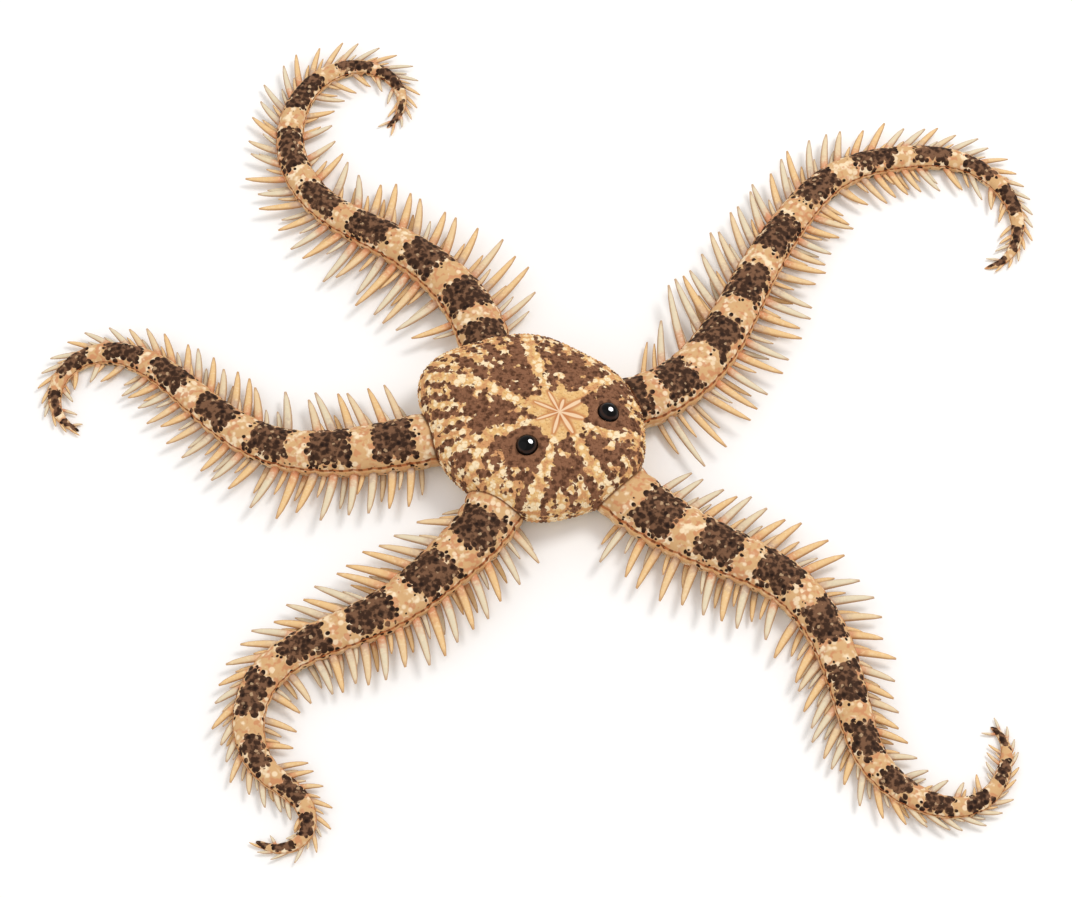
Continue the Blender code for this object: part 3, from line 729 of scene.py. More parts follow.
def arm_skin(line):
    """Points, faces and markings of one arm's skin."""
    counts = np.array([joint + part for joint in range(line.joints) for part in JOINT_RINGS])
    shares = line.joint_share(counts)
    fractions = counts % 1.0
    keep = shares < 1.0 - TIP_SHARE
    inside = np.linspace(-ARM_INSIDE / line.arm.length, 0.0, RINGS_INSIDE + 1)[:-1]
    round_end = TIP_SHARE * (1.0 - np.sin(np.radians(TIP_ANGLES)))
    ends = (np.full(RINGS_INSIDE, 0.5), np.full(len(TIP_ANGLES), 0.5))
    shares = np.concatenate([inside, shares[keep], 1.0 - round_end])
    fractions = np.concatenate([ends[0], fractions[keep], ends[1]])
    last_joint = np.full(len(TIP_ANGLES), line.joints)
    counts = np.concatenate([np.zeros(RINGS_INSIDE), counts[keep], last_joint])
    phi = section_angles()
    upper = np.sin(phi) >= 0
    t, bow = shares[:, None], np.maximum(0.0, np.sin(phi))[None]

    # How far each point is drawn in or out by grooves and bulges.
    groove = near_middle(np.minimum(fractions, 1 - fractions), PLATE_GROOVE_WIDTH)[:, None]
    bulge = np.sin(math.pi * fractions)[:, None]
    side = near_middle(np.abs(np.cos(phi)) - 1.0, SIDE_BULGE_WIDTH)[None]
    over_side = np.degrees(np.minimum(phi % math.pi, math.pi - phi % math.pi))
    margin = near_middle(over_side - MARGIN_ANGLE, MARGIN_GROOVE_WIDTH)[None] * (np.sin(phi) > 0)
    across_groove = PLATE_GROOVE_AT_SIDE + (1.0 - PLATE_GROOVE_AT_SIDE) * bow
    size = 1.0 - PLATE_SWELL + PLATE_SWELL * bulge - PLATE_GROOVE * groove * across_groove
    size = size - MARGIN_GROOVE * margin + SIDE_BULGE * side * bulge
    sole = 1.0 - SOLE_RELIEF * (1.0 - size)

    # The section: round above, squarer below, and bowed towards the tip at each plate.
    squarer = np.sign(np.cos(phi)) * np.abs(np.cos(phi)) ** UNDER_ROUNDNESS
    x = np.where(upper, np.cos(phi), squarer)
    z = np.where(upper, np.sin(phi), -np.abs(np.sin(phi)) ** UNDER_ROUNDNESS)
    half = (line.half(shares) * tip_taper(shares))[:, None]
    height = ARM_FLATNESS * half * (1.0 + z[None] * np.where(upper, size, sole))
    aside = x[None] * half * size
    spacing = JOINT_SPACING * np.interp(shares, (0, 1), JOINT_NARROWING)[:, None]
    bowed = (t > 0) * (t < PLATE_BOW_STOP) * np.minimum(1.0, half / PLATE_BOW_FROM)
    ahead = PLATE_BOW * spacing * bow * bowed
    points = line.at(shares)[:, None] + aside[..., None] * -line.left(shares)[:, None]
    points = points + ahead[..., None] * line.ahead(shares)[:, None]
    points[..., 2] += height
    rings, around = points.shape[:2]
    faces = grid_faces(rings, around)
    faces.append(tuple(range(around))[::-1])
    faces.append(tuple(range((rings - 1) * around, rings * around)))

    inward = (BAND_SHARE_ACROSS - np.abs(np.cos(phi))[None]) * half
    finer = np.clip(LOBED_FROM / line.half(shares), 1.0, FINEST_LOBES)[:, None]
    whole = np.ones_like(aside)
    markings = {
        "band": np.minimum(line.band(shares)[:, None], inward) * finer,
        "across": np.cos(phi)[None] * whole,
        "top": np.sin(phi)[None] * whole,
        "joint": counts[:, None] * whole,
        "arm_sole": step_up(-np.sin(phi), *ARM_SOLE_FADE)[None] * whole,
    }
    return points.reshape(-1, 3), faces, {key: values.ravel() for key, values in markings.items()}


def joined(parts):
    """Points, faces and markings of several meshes as one."""
    points, faces, markings, first = [], [], {}, 0
    for part_points, part_faces, part_markings in parts:
        points.append(part_points)
        faces += [tuple(first + i for i in face) for face in part_faces]
        for key, values in part_markings.items():
            markings.setdefault(key, []).append(values)
        first += len(part_points)
    return np.vstack(points), faces, {key: np.concatenate(v) for key, v in markings.items()}


def coordinates(mesh):
    flat = np.empty(len(mesh.vertices) * 3)
    mesh.vertices.foreach_get("co", flat)
    return flat.reshape(-1, 3)


def nearest(points, wanted):
    """For each wanted point, the row of the nearest of points, and how far away it is."""
    tree = kdtree.KDTree(len(points))
    for i, point in enumerate(points):
        tree.insert(point, i)
    tree.balance()
    found = [tree.find(point) for point in wanted]
    return np.array([row for _, row, _ in found]), np.array([away for _, _, away in found])


def node(tree, kind, inputs=(), **settings):
    """Adds a node with its settings, and the values or links of its inputs, in order or by name."""
    made = tree.nodes.new(kind)
    for name, value in settings.items():
        setattr(made, name, value)
    named = inputs if isinstance(inputs, dict) else dict(enumerate(inputs))
    for key, value in named.items():
        if isinstance(value, bpy.types.Node):
            value = next(output for output in value.outputs if output.enabled)
        if isinstance(value, bpy.types.NodeSocket):
            tree.links.new(value, made.inputs[key])
        else:
            made.inputs[key].default_value = value
    return made


def as_input(colour):
    """A colour or a node's output, as a colour input takes it."""
    return colour if isinstance(colour, bpy.types.NodeSocket) else (*colour, 1.0)


class Finish:
    """A material under way: its tree, the markings that it reads and its place in millimetres.

    Sizes of cells and lumps are millimetres. Bounds on them are shares of the pattern's range,
    and bounds on a marking are in the marking's own unit.
    """

    def __init__(self, name, roughness, specular, markings=()):
        self.material = bpy.data.materials.new(name)
        self.material.use_nodes = True
        self.tree = self.material.node_tree
        self.shader = self.tree.nodes["Principled BSDF"]
        self.shader.inputs["Roughness"].default_value = roughness
        self.shader.inputs["Specular IOR Level"].default_value = specular
        metres = self.add("ShaderNodeTexCoord").outputs["Object"]
        self.place = self.add(VECTOR, {0: metres, "Scale": 1.0 / MM}, operation="SCALE")
        self.given = {}
        for marking in markings:
            reader = self.add("ShaderNodeAttribute", attribute_name=marking)
            self.given[marking] = reader.outputs["Fac"]

    def add(self, kind, inputs=(), **settings):
        return node(self.tree, kind, inputs, **settings)

    def where(self, *bounds):
        """The share that several bounds leave: each has a value, where it is 0 and where it is 1."""
        share = None
        for bound in bounds:
            step = self.add(RANGE, bound, interpolation_type="SMOOTHSTEP")
            share = step if share is None else self.add(MATH, (share, step), operation="MULTIPLY")
        return share

    def lumps(self, size_mm, detail=2.0, strength=1.0, over=0.0):
        """Cloudy noise with lumps of about size_mm, times strength, laid over a value."""
        inputs = {"Vector": self.place, "Scale": 1.0 / size_mm, "Detail": detail}
        noise = self.add("ShaderNodeTexNoise", inputs)
        return self.add(MATH, (noise, strength, over), operation="MULTIPLY_ADD")

    def cells(self, size_mm):
        """Close-packed spots: the distance from the middle of each, and two random numbers."""
        spots = self.add("ShaderNodeTexVoronoi", {"Vector": self.place, "Scale": 1.0 / size_mm})
        split = self.add("ShaderNodeSeparateColor", (spots.outputs["Color"],))
        return spots.outputs["Distance"], split.outputs[0], split.outputs[1]

    def lobed(self, inside, far, pick, depth=1.0):
        """inside, in millimetres, with its edge broken into round lobes, one to a cell."""
        lobes = self.add(MATH, (far, -LOBE_SLOPE, LOBE_RISE), operation="MULTIPLY_ADD")
        uneven = self.add(MATH, (pick, LOBE_SPREAD, -LOBE_SPREAD / 2), operation="MULTIPLY_ADD")
        lobes = self.add(MATH, (lobes, uneven), operation="ADD")
        return self.add(MATH, (lobes, depth, inside), operation="MULTIPLY_ADD")

    def nubs(self, far, height, grain_mm, grain_height):
        """Height of round nubs, one to a cell, with a fine grain on them."""
        nubs = self.add(MATH, (far, -height, height), operation="MULTIPLY_ADD")
        return self.lumps(grain_mm, 3.0, grain_height, nubs)

    def layered(self, ground, *layers):
        """ground with colours laid over it in turn: the share, the strength and the colour of each."""
        for share, strength, colour in layers:
            if strength < 1.0:
                share = self.add(MATH, (share, strength), operation="MULTIPLY")
            inputs = {0: share, 6: as_input(ground), 7: as_input(colour)}
            ground = self.add("ShaderNodeMix", inputs, data_type="RGBA").outputs[2]
        return ground

    def done(self, colour, height, depth_mm):
        """Sets the colour, and a bump of depth_mm where height goes from 0 to 1."""
        bump = self.add("ShaderNodeBump", {"Height": height, "Distance": depth_mm * MM, "Strength": 1.0})
        self.tree.links.new(bump.outputs[0], self.shader.inputs["Normal"])
        if isinstance(colour, bpy.types.NodeSocket):
            self.tree.links.new(colour, self.shader.inputs["Base Color"])
        else:
            self.shader.inputs["Base Color"].default_value = as_input(colour)
        return self.material


def arm_finish(colours):
    """Limy arm plates under thin skin: satin, banded, with nubbly edges to each band."""
    f = Finish("banded arm plates", 0.65, 0.08, ("band", "across", "top", "joint", "arm_sole", "junction"))
    band = f.given["band"]
    across = f.add(MATH, (f.given["across"],), operation="ABSOLUTE")
    far, pick, other = f.cells(0.78)

    # The pale ground: cream clouds, ruddy blotches and cream spots.
    clouds = f.where((f.lumps(1.2), 0.5, 0.7))
    blotches = f.where((f.lumps(0.8, 1.0), 0.5, 0.62))
    spot, spot_pick, _ = f.cells(0.9)
    spots = f.where((spot, 0.5, 0.26), (spot_pick, 0.5, 0.56))

    # The dark bands: lighter brown in the gaps between cells, and near-black dots.
    gaps = f.where((f.lumps(0.45, 3.0, 1.4, far), 1.06, 1.5))
    deep = f.where((far, 0.5, 0.15), (other, 0.45, 0.85))
    edge_dots = f.where((band, 0.25, -0.1), (far, 0.6, 0.3))
    brown = f.layered(
        colours.band_dark,
        (gaps, 0.9, colours.band_brown),
        (deep, 1.0, colours.band_black),
        (edge_dots, 0.75, colours.band_black),
    )
    dark = f.where((f.lobed(band, far, pick), *LOBE_EDGE))
    fleck, fleck_pick, _ = f.cells(0.85)
    uneven_fleck = f.lumps(0.3, 2.0, 0.6, fleck)
    flecks = f.where((uneven_fleck, 0.6, 0.5), (fleck_pick, 0.58, 0.62), (band, 0.25, 0.5))

    # The dashed line along each edge of the arm's top.
    off_line = f.add(MATH, (across, MARGIN_ACROSS), operation="SUBTRACT")
    off_line = f.add(MATH, (off_line,), operation="ABSOLUTE")
    line = f.where((off_line, 0.022, 0.01), (f.given["top"], 0.0, 0.1))
    wave = f.add(MATH, (f.given["joint"], DASHES_PER_JOINT * TURN), operation="MULTIPLY")
    wave = f.add(MATH, (wave,), operation="SINE")
    dashes = f.add(MATH, (line, f.where((wave, 0.0, 0.3))), operation="MULTIPLY")

    colour = f.layered(
        colours.band_pale,
        (clouds, 1.0, colours.cream),
        (blotches, 0.85, colours.blotch),
        (spots, 0.8, colours.cream),
        (f.where((across, 0.97, 0.985)), 0.5, colours.margin_side),
        (dark, 1.0, brown),
        (flecks, 0.8, colours.band_fleck),
        (line, 0.85, colours.margin),
        (dashes, 0.8, colours.dash_and_crease_shade),
        (f.given["arm_sole"], 0.8, colours.underside),
        # Painted shade: dark brown laid on the skin within about a third of a millimetre of where an arm
        # meets the disc, as the shade of that crease.
        (f.where((f.given["junction"], 0.34, 0.12)), 0.75, colours.dash_and_crease_shade),
    )
    return f.done(colour, f.nubs(far, 0.7, 0.16, 0.5), 0.06)


def disc_finish(colours, name="granular disc skin"):
    """Skin packed with limy granules: satin, brown patches between beaded pale rays."""
    f = Finish(name, 0.65, 0.09, ("rim", "ray", "halo", "tan", "star", "sole"))
    tan, star, halo = f.given["tan"], f.given["star"], f.given["halo"]

    # The pale parts: the rays, the crown and a few flecks, and none round the eyes.
    limit = f.add(RANGE, (f.given["rim"], 0.4, 0.85, 0.63, 0.6))
    flecks = f.add(MATH, (f.lumps(1.25, 1.5), limit), operation="SUBTRACT")
    pale = f.add(MATH, (flecks, FLECK_SLOPE), operation="MULTIPLY")
    for part in (f.given["ray"], tan):
        pale = f.add(MATH, (pale, part), operation="MAXIMUM")
    pale = f.add(MATH, (pale, 0.8), operation="MINIMUM")
    ring = f.add(MATH, (halo, 0.0), operation="MAXIMUM")
    brownness = f.add(MATH, (ring, 1.5, 0.1), operation="MULTIPLY_ADD")
    brownness = f.add(MATH, (brownness, pale), operation="SUBTRACT")

    # The brown between them, in round lobes, one to a cell.
    far, pick, _ = f.cells(0.8)
    dark = f.where((f.lobed(brownness, far, pick, 0.65), *LOBE_EDGE))
    lighter = f.where((f.lumps(0.4, 3.0, 1.2, far), 0.75, 1.25))
    brown = f.layered(colours.disc_deep, (lighter, 1.0, colours.disc_brown))

    grains, grain_pick, _ = f.cells(0.95)
    bead = f.add(MATH, (grain_pick, 0.35, grains), operation="MULTIPLY_ADD")
    colour = f.layered(
        colours.disc_tan,
        (f.where((bead, 0.72, 0.5)), 1.0, colours.bead),
        (f.where((grains, 0.5, 0.75)), 0.7, colours.blotch),
        (f.where((tan, -0.3, 0.2)), 0.85, colours.disc_tan),
        (f.where((tan, 1.4, 2.8)), 0.45, colours.margin),
        (f.where((star, -0.42, -0.1)), 0.7, colours.margin),
        (f.where((star, -0.06, 0.05)), 0.85, colours.star_pink),
        (dark, 1.0, brown),
        (f.where((halo, 1.35, 1.7)), 0.5, colours.band_black),
        (f.given["sole"], 0.85, colours.underside),
    )
    return f.done(colour, f.nubs(far, 0.8, 0.18, 0.4), 0.08)


def spine_finish(colours):
    """Smooth glassy lime under thin skin: amber or greyish cream, ruddy at the root."""
    f = Finish("limy spine", 0.5, 0.2, ("out", "side", "tint", "root_tint"))
    out = f.given["out"]
    side = f.add(MATH, (f.given["side"],), operation="ABSOLUTE")
    body = f.layered(colours.spine_amber, (f.where((f.given["tint"], 0.3, 0.75)), 1.0, colours.spine_cream))
    greyish = f.where((f.given["root_tint"], 0.35, 0.7))
    root = f.layered(colours.spine_root, (greyish, 1.0, colours.spine_root_grey))
    colour = f.layered(
        root,
        (f.where((f.lumps(0.7, 2.0, 0.4, out), 0.32, 0.7)), 1.0, body),
        (f.where((f.lumps(0.35, 3.0), 0.5, 0.7)), 0.35, colours.cream),
        (f.where((side, 0.5, 0.95)), 0.75, colours.spine_edge),
        (f.where((out, 0.86, 1.0)), 0.6, colours.spine_edge),
    )
    return f.done(colour, f.lumps(0.2), 0.02)


def eye_finish(colours):
    """Glossy bead: black, with a deep brown ring near its edge."""
    f = Finish("glossy bead", 0.04, 0.13, ("gaze",))
    gaze = f.given["gaze"]
    ring = f.where((gaze, 42.0, 48.0), (gaze, 62.0, 56.0))
    return f.done(f.layered(colours.eye_black, (ring, 0.85, colours.eye_ring)), f.lumps(0.5), 0.004)


def floor_finish(colours):
    """Matt painted board: plain and pale."""
    f = Finish("matt pale board", 0.9, 0.1)
    return f.done(colours.floor, f.lumps(1.5), 0.01)


# Growth trees


def new_tree(name, inputs, carried):
    """A geometry tree, its named inputs, its result and the fields that its points carry.

    An input is its name, kind and default. A field is its name and kind.
    """
    tree = bpy.data.node_groups.new(name, "GeometryNodeTree")
    for way in ("INPUT", "OUTPUT"):
        tree.interface.new_socket("Geometry", in_out=way, socket_type="NodeSocketGeometry")
    for label, kind, default in inputs:
        socket = tree.interface.new_socket(label, in_out="INPUT", socket_type=kind)
        if default is not None:
            socket.default_value = default
    fields = {}
    for label, kind in carried:
        reader = node(tree, "GeometryNodeInputNamedAttribute", {"Name": label}, data_type=kind)
        fields[label] = reader.outputs["Attribute"]
    return tree, node(tree, "NodeGroupInput").outputs, node(tree, "NodeGroupOutput"), fields


def finish_tree(tree, given, result, pieces, root, patch):
    """Lays each piece's patch at its root's place on the bake map, and sets the finish."""
    spot = node(tree, VECTOR, (root, patch), operation="ADD")
    mapped = node(tree, STORE, {"Geometry": pieces, "Name": "OFBake", "Value": spot},
                  data_type="FLOAT2", domain="CORNER")
    finished = node(tree, "GeometryNodeSetMaterial", {"Geometry": mapped, "Material": given["Finish"]})
    tree.links.new(finished.outputs[0], result.inputs["Geometry"])
    return tree


def shape_curve(mapping, places):
    """Sets the points of a node's curve."""
    points = mapping.curves[0].points
    for place in places[1:-1]:
        points.new(*place)
    points[0].location, points[len(points) - 1].location = places[0], places[-1]
    mapping.update()


def spine_tree():
    """Sets one tapered, flattened, slightly bent spine on each point."""
    tree, given, result, fields = new_tree(
        "side_spines",
        (
            ("Width", "NodeSocketFloat", 1.0), ("Length", "NodeSocketFloat", 1.0),
            ("Flatness", "NodeSocketFloat", SPINE_FLATNESS), ("Bend", "NodeSocketFloat", 0.6),
            ("Sides", "NodeSocketInt", 8), ("Lengths", "NodeSocketInt", 7),
            ("Patch", "NodeSocketFloat", BAKE_PATCH), ("Finish", "NodeSocketMaterial", None),
        ),
        (
            ("aim", "FLOAT_VECTOR"), ("ahead", "FLOAT_VECTOR"), ("size", "FLOAT_VECTOR"),
            ("root_uv", "FLOAT_VECTOR"), ("girth", "FLOAT"), ("side", "FLOAT"), ("out", "FLOAT"),
        ),
    )
    # A round tapered spine, one unit long, that knows how far out and aside each point is.
    line = node(tree, "GeometryNodeCurvePrimitiveLine", {"End": (0.0, 0.0, 1.0)})
    line = node(tree, "GeometryNodeResampleCurve", {"Curve": line, "Count": given["Lengths"]})
    out = node(tree, "GeometryNodeSplineParameter").outputs["Factor"]
    girth = node(tree, "ShaderNodeFloatCurve", {"Value": out})
    shape_curve(girth.mapping, SPINE_PROFILE)
    for name, value in (("out", out), ("girth", girth)):
        line = node(tree, STORE, {"Geometry": line, "Name": name, "Value": value})
    ring = node(tree, "GeometryNodeCurvePrimitiveCircle", {"Resolution": given["Sides"], "Radius": 1.0})
    solid = node(tree, "GeometryNodeCurveToMesh", {
        "Curve": line, "Profile Curve": ring.outputs["Curve"], "Scale": girth, "Fill Caps": True})
    place = node(tree, "ShaderNodeSeparateXYZ", (node(tree, "GeometryNodeInputPosition"),))
    side = node(tree, MATH, (place.outputs["X"], fields["girth"]), operation="DIVIDE")
    solid = node(tree, STORE, {"Geometry": solid, "Name": "side", "Value": side})

    # It is flattened, and its outer half bends towards the arm's tip.
    flat = node(tree, COMBINE, (1.0, given["Flatness"], 1.0))
    solid = node(tree, "GeometryNodeTransform", {"Geometry": solid, "Scale": flat})
    arch = node(tree, MATH, (place.outputs["Z"], 2.0, -1.0), operation="MULTIPLY_ADD")
    for factor in (place.outputs["Z"], given["Bend"]):
        arch = node(tree, MATH, (arch, factor), operation="MULTIPLY")
    shift = node(tree, COMBINE, {"X": arch})
    solid = node(tree, "GeometryNodeSetPosition", {"Geometry": solid, "Offset": shift})

    turned = node(
        tree, "FunctionNodeAxesToRotation",
        {"Primary Axis": fields["aim"], "Secondary Axis": fields["ahead"]},
        primary_axis="Z", secondary_axis="X",
    )
    scale = node(tree, COMBINE, (given["Width"], given["Width"], given["Length"]))
    scale = node(tree, VECTOR, (fields["size"], scale), operation="MULTIPLY")
    set_out = node(tree, "GeometryNodeInstanceOnPoints", {
        "Points": given["Geometry"], "Instance": solid, "Rotation": turned, "Scale": scale})
    real = node(tree, "GeometryNodeRealizeInstances", {"Geometry": set_out})
    half_side = node(tree, MATH, (fields["side"], 0.5), operation="MULTIPLY")
    local = node(tree, COMBINE, {"X": half_side, "Y": fields["out"]})
    patch = node(tree, VECTOR, {0: local, "Scale": given["Patch"]}, operation="SCALE")
    return finish_tree(tree, given, result, real, fields["root_uv"], patch)


def granule_tree():
    """Scatters low granules over a surface, each with the markings of its root."""
    tree, given, result, fields = new_tree(
        "granules",
        (
            ("Spacing", "NodeSocketFloat", GRANULE_SPACING * MM),
            ("Radius", "NodeSocketFloat", GRANULE_RADIUS * MM),
            ("Height", "NodeSocketFloat", 0.6), ("Seed", "NodeSocketInt", 4),
            ("Patch", "NodeSocketFloat", BAKE_PATCH), ("Finish", "NodeSocketMaterial", None),
        ),
        (("root_uv", "FLOAT_VECTOR"), ("local", "FLOAT_VECTOR")),
    )
    spread = node(
        tree, "GeometryNodeDistributePointsOnFaces",
        {"Mesh": given["Geometry"], "Distance Min": given["Spacing"],
         "Density Max": GRANULE_DENSITY, "Seed": given["Seed"]},
        distribute_method="POISSON",
    )
    ball = node(tree, "GeometryNodeMeshIcoSphere", {"Radius": 1.0, "Subdivisions": 2})
    own_place = node(tree, "GeometryNodeInputPosition")
    ball = node(tree, STORE, {"Geometry": ball.outputs["Mesh"], "Name": "local", "Value": own_place},
                data_type="FLOAT_VECTOR")
    least, most = GRANULE_SIZES
    vary = node(tree, "FunctionNodeRandomValue", {2: least, 3: most, "Seed": given["Seed"]},
                data_type="FLOAT")
    radius = node(tree, MATH, (vary.outputs[1], given["Radius"]), operation="MULTIPLY")
    height = node(tree, MATH, (radius, given["Height"]), operation="MULTIPLY")
    scale = node(tree, COMBINE, (radius, radius, height))
    set_out = node(tree, "GeometryNodeInstanceOnPoints", {
        "Points": spread.outputs["Points"], "Instance": ball,
        "Rotation": spread.outputs["Rotation"], "Scale": scale})
    real = node(tree, "GeometryNodeRealizeInstances", {"Geometry": set_out})
    real = node(tree, "GeometryNodeSetShadeSmooth", {"Geometry": real})
    half = node(tree, MATH, (given["Patch"], 0.5), operation="MULTIPLY")
    patch = node(tree, VECTOR, {0: fields["local"], "Scale": half}, operation="SCALE")
    return finish_tree(tree, given, result, real, fields["root_uv"], patch)


def settled(obj, modifier):
    """The plain mesh that a modifier makes of an object. The modifier is then removed."""
    bpy.context.view_layer.update()
    graph = bpy.context.evaluated_depsgraph_get()
    mesh = bpy.data.meshes.new_from_object(obj.evaluated_get(graph))
    obj.modifiers.remove(modifier)
    return mesh


def grown(name, seed_object, tree, values):
    """The piece that a growth tree makes of a seed object, which is then removed."""
    modifier = seed_object.modifiers.new("growth", "NODES")
    modifier.node_group = tree
    for item in tree.interface.items_tree:
        if item.item_type == "SOCKET" and item.in_out == "INPUT" and item.name in values:
            modifier[item.identifier] = values[item.name]
    mesh = settled(seed_object, modifier)
    bpy.data.objects.remove(seed_object)
    mesh.name = name
    return placed(name, mesh)


def fuse(body, limbs):
    """Joins limbs to body as one closed skin."""
    modifier = body.modifiers.new("fuse", "BOOLEAN")
    modifier.operation = "UNION"
    modifier.solver = "MANIFOLD"
    modifier.object = limbs
    body.data = settled(body, modifier)
    bpy.data.objects.remove(limbs)
    body.data.shade_smooth()


def spine_roots():
    """The roots of all spines, with where each points and how large it is."""
    draw = np.random.default_rng(SPINE_SEED)
    roots = []
    for index, (name, line) in enumerate(LINES.items()):
        for row in SPINE_ROWS:
            for i, joint in enumerate(np.arange(row.offset, line.joints, row.every)):
                t = float(line.joint_share(joint))
                if not FIRST_SPINE < t < row.stop:
                    continue
                for side, habit in zip((1, -1), SPINE_SIDES[name]):
                    reach = float(np.interp(t, QUARTERS, habit.reach))
                    closer = side * float(line.bend(t)) * (float(line.half(t)) + 0.5 * reach)
                    if i % 2 == 1 and closer > CROWDED:
                        continue
                    root = spine_root(draw, index, line, row, t, side, habit)
                    if root is not None:
                        roots.append(root)
    return {key: np.array([root[key] for root in roots]) for key in roots[0]}


def spine_root(draw, index, line, row, t, side, habit):
    """One spine's root, shortened inside a bend, or None where it isn't clear of the rim."""
    vary = 1.0 + SPINE_VARIATION * draw.uniform(-1, 1)
    swing, shade, root_shade = SPINE_SWING * draw.uniform(-1, 1), draw.uniform(), draw.uniform()
    ahead, out = line.ahead(t), side * line.left(t)
    half = float(line.half(t))
    lean = math.radians(float(np.interp(t, QUARTERS, habit.lean)) + swing)
    rise = math.radians(row.rise + SPINE_RISE_SWING * swing)
    level = math.cos(lean) * out + math.sin(lean) * ahead
    aim = math.cos(rise) * level + np.array((0.0, 0.0, math.sin(rise)))
    reach = float(np.interp(t, QUARTERS, habit.reach)) * row.reach * vary
    inward = side * float(line.bend(t))
    if inward > 0:
        room = CROWDED_SHARE / inward - half
        reach = max(SHORTEST_SHARE * reach, min(reach, room))
    depth = SPINE_ROOT_DEPTH * half
    place = line.at(t) + depth * out
    place[2] += row.height * ARM_FLATNESS * half
    reach = min(reach, reach_in_box(place, aim) - half + depth)
    bare = place + (half - depth + SPINE_BARE) * aim
    if rim_clearance(bare) < SPINE_RIM_GAP:
        return None
    width = float(smooth(SPINE_HALF_WIDTH, t)) * row.width
    return {
        "place": place, "aim": aim, "ahead": ahead,
        "size": np.array((width, width, reach + half - depth)) * MM,
        "tint": shade, "root_tint": root_shade, "root_uv": arm_bake_place(index, t, side),
    }


def reach_in_box(place, aim):
    """How far a spine may reach from its root and stay within BOX_MARGIN of the solids' box."""
    low, high = np.array(CAD_BOX[0]) / MM - BOX_MARGIN, np.array(CAD_BOX[1]) / MM + BOX_MARGIN
    room = np.where(aim > 0, high - place, place - low)[:2]
    return float(np.min(room / np.maximum(np.abs(aim[:2]), 0.01)))


def rim_clearance(place):
    """How far a place is outside the disc's rim, in plan."""
    out = place[:2] - DISC_CENTRE[:2]
    return float(np.linalg.norm(out) - rim_radius(math.atan2(out[1], out[0])))


# Operators


class BuildSkin(bpy.types.Operator):
    """One unbroken skin over the disc and the five arms"""

    bl_idname = "brittle_star.build_skin"
    bl_label = "Build skin"

    def execute(self, context):
        colours = context.scene.star_colours
        disc = disc_skin()
        arms = joined([arm_skin(line) for line in LINES.values()])
        disc = (disc[0] + DISC_CENTRE, disc[1], disc[2])
        skin = mesh_from("skin", disc[0], disc[1], {})
        limbs = mesh_from("limbs", arms[0], arms[1], {})
        for finish in (disc_finish(colours), arm_finish(colours)):
            skin.data.materials.append(finish)
            limbs.data.materials.append(finish)
        limbs.data.polygons.foreach_set("material_index", np.ones(len(arms[1]), np.int32))
        fuse(skin, limbs)
        self.carry_markings(skin.data, disc, arms)
        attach(skin, "root")
        nodes = [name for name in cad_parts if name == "disc" or name.startswith("arm_")]
        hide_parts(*nodes)
        return {"FINISHED"}

    def carry_markings(self, mesh, disc, arms):
        """Gives the fused skin the markings of the disc and of the arms."""
        points = coordinates(mesh) / MM
        for source in (disc, arms):
            rows, _ = nearest(source[0], points)
            for key, values in source[2].items():
                set_attribute(mesh, key, values[rows])
        faces = np.empty(len(mesh.polygons), int)
        mesh.polygons.foreach_get("material_index", faces)
        # Each point's distance from the seam, which the arms' finish reads for the painted shade in the
        # crease.
        _, away = nearest(self.seam_points(mesh, faces), points)
        set_attribute(mesh, "junction", away)

    def seam_points(self, mesh, faces):
        """Points where an arm's skin meets the disc's, in millimetres."""
        kinds = np.zeros((len(mesh.vertices), 2), bool)
        for polygon, kind in zip(mesh.polygons, faces):
            kinds[list(polygon.vertices), min(kind, 1)] = True
        return coordinates(mesh)[kinds.all(axis=1)] / MM


class BuildGranules(bpy.types.Operator):
    """Low granules set close over the upper side of the disc"""

    bl_idname = "brittle_star.build_granules"
    bl_label = "Build granules"

    def execute(self, context):
        colours, sizes = context.scene.star_colours, context.scene.star_sizes
        points, faces, markings = disc_skin()
        clear = markings["halo"] < HALO_RADIUS - GRANULE_EYE_GAP
        clear &= markings["rim"] < GRANULE_STOP
        clear &= markings["star"] < -GRANULE_STAR_GAP
        clear &= ~self.near_arms(points + DISC_CENTRE)
        faces = [face for face in faces if all(clear[i] for i in face)]
        ground = mesh_from("granule_ground", points + DISC_CENTRE, faces, markings)
        values = {"Spacing": sizes.granule_spacing, "Radius": sizes.granule_radius,
                  "Finish": disc_finish(colours, "limy granules")}
        granules = grown("disc_granules", ground, granule_tree(), values)
        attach(granules, "root")
        return {"FINISHED"}

    def near_arms(self, points):
        """Whether each point lies inside an arm's root."""
        near = np.zeros(len(points), bool)
        for line in LINES.values():
            for t in ROOT_STATIONS:
                centre, half = line.at(t), float(line.half(t))
                centre = centre + (0.0, 0.0, ARM_FLATNESS * half)
                away = (points - centre) / (half, half, ARM_FLATNESS * half)
                near |= np.linalg.norm(away, axis=1) < ROOT_CLEARANCE
        return near


class BuildSpines(bpy.types.Operator):
    """Rows of tapered spines along both sides of the arms"""

    bl_idname = "brittle_star.build_spines"
    bl_label = "Build spines"

    def execute(self, context):
        colours, sizes = context.scene.star_colours, context.scene.star_sizes
        roots = spine_roots()
        place = roots.pop("place")
        seeds = mesh_from("spine_roots", place, [], roots)
        values = {"Width": sizes.spine_girth, "Length": sizes.spine_reach,
                  "Flatness": sizes.spine_flatness, "Finish": spine_finish(colours)}
        spines = grown("arm_spines", seeds, spine_tree(), values)
        spines.data.shade_smooth()
        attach(spines, "root")
        return {"FINISHED"}


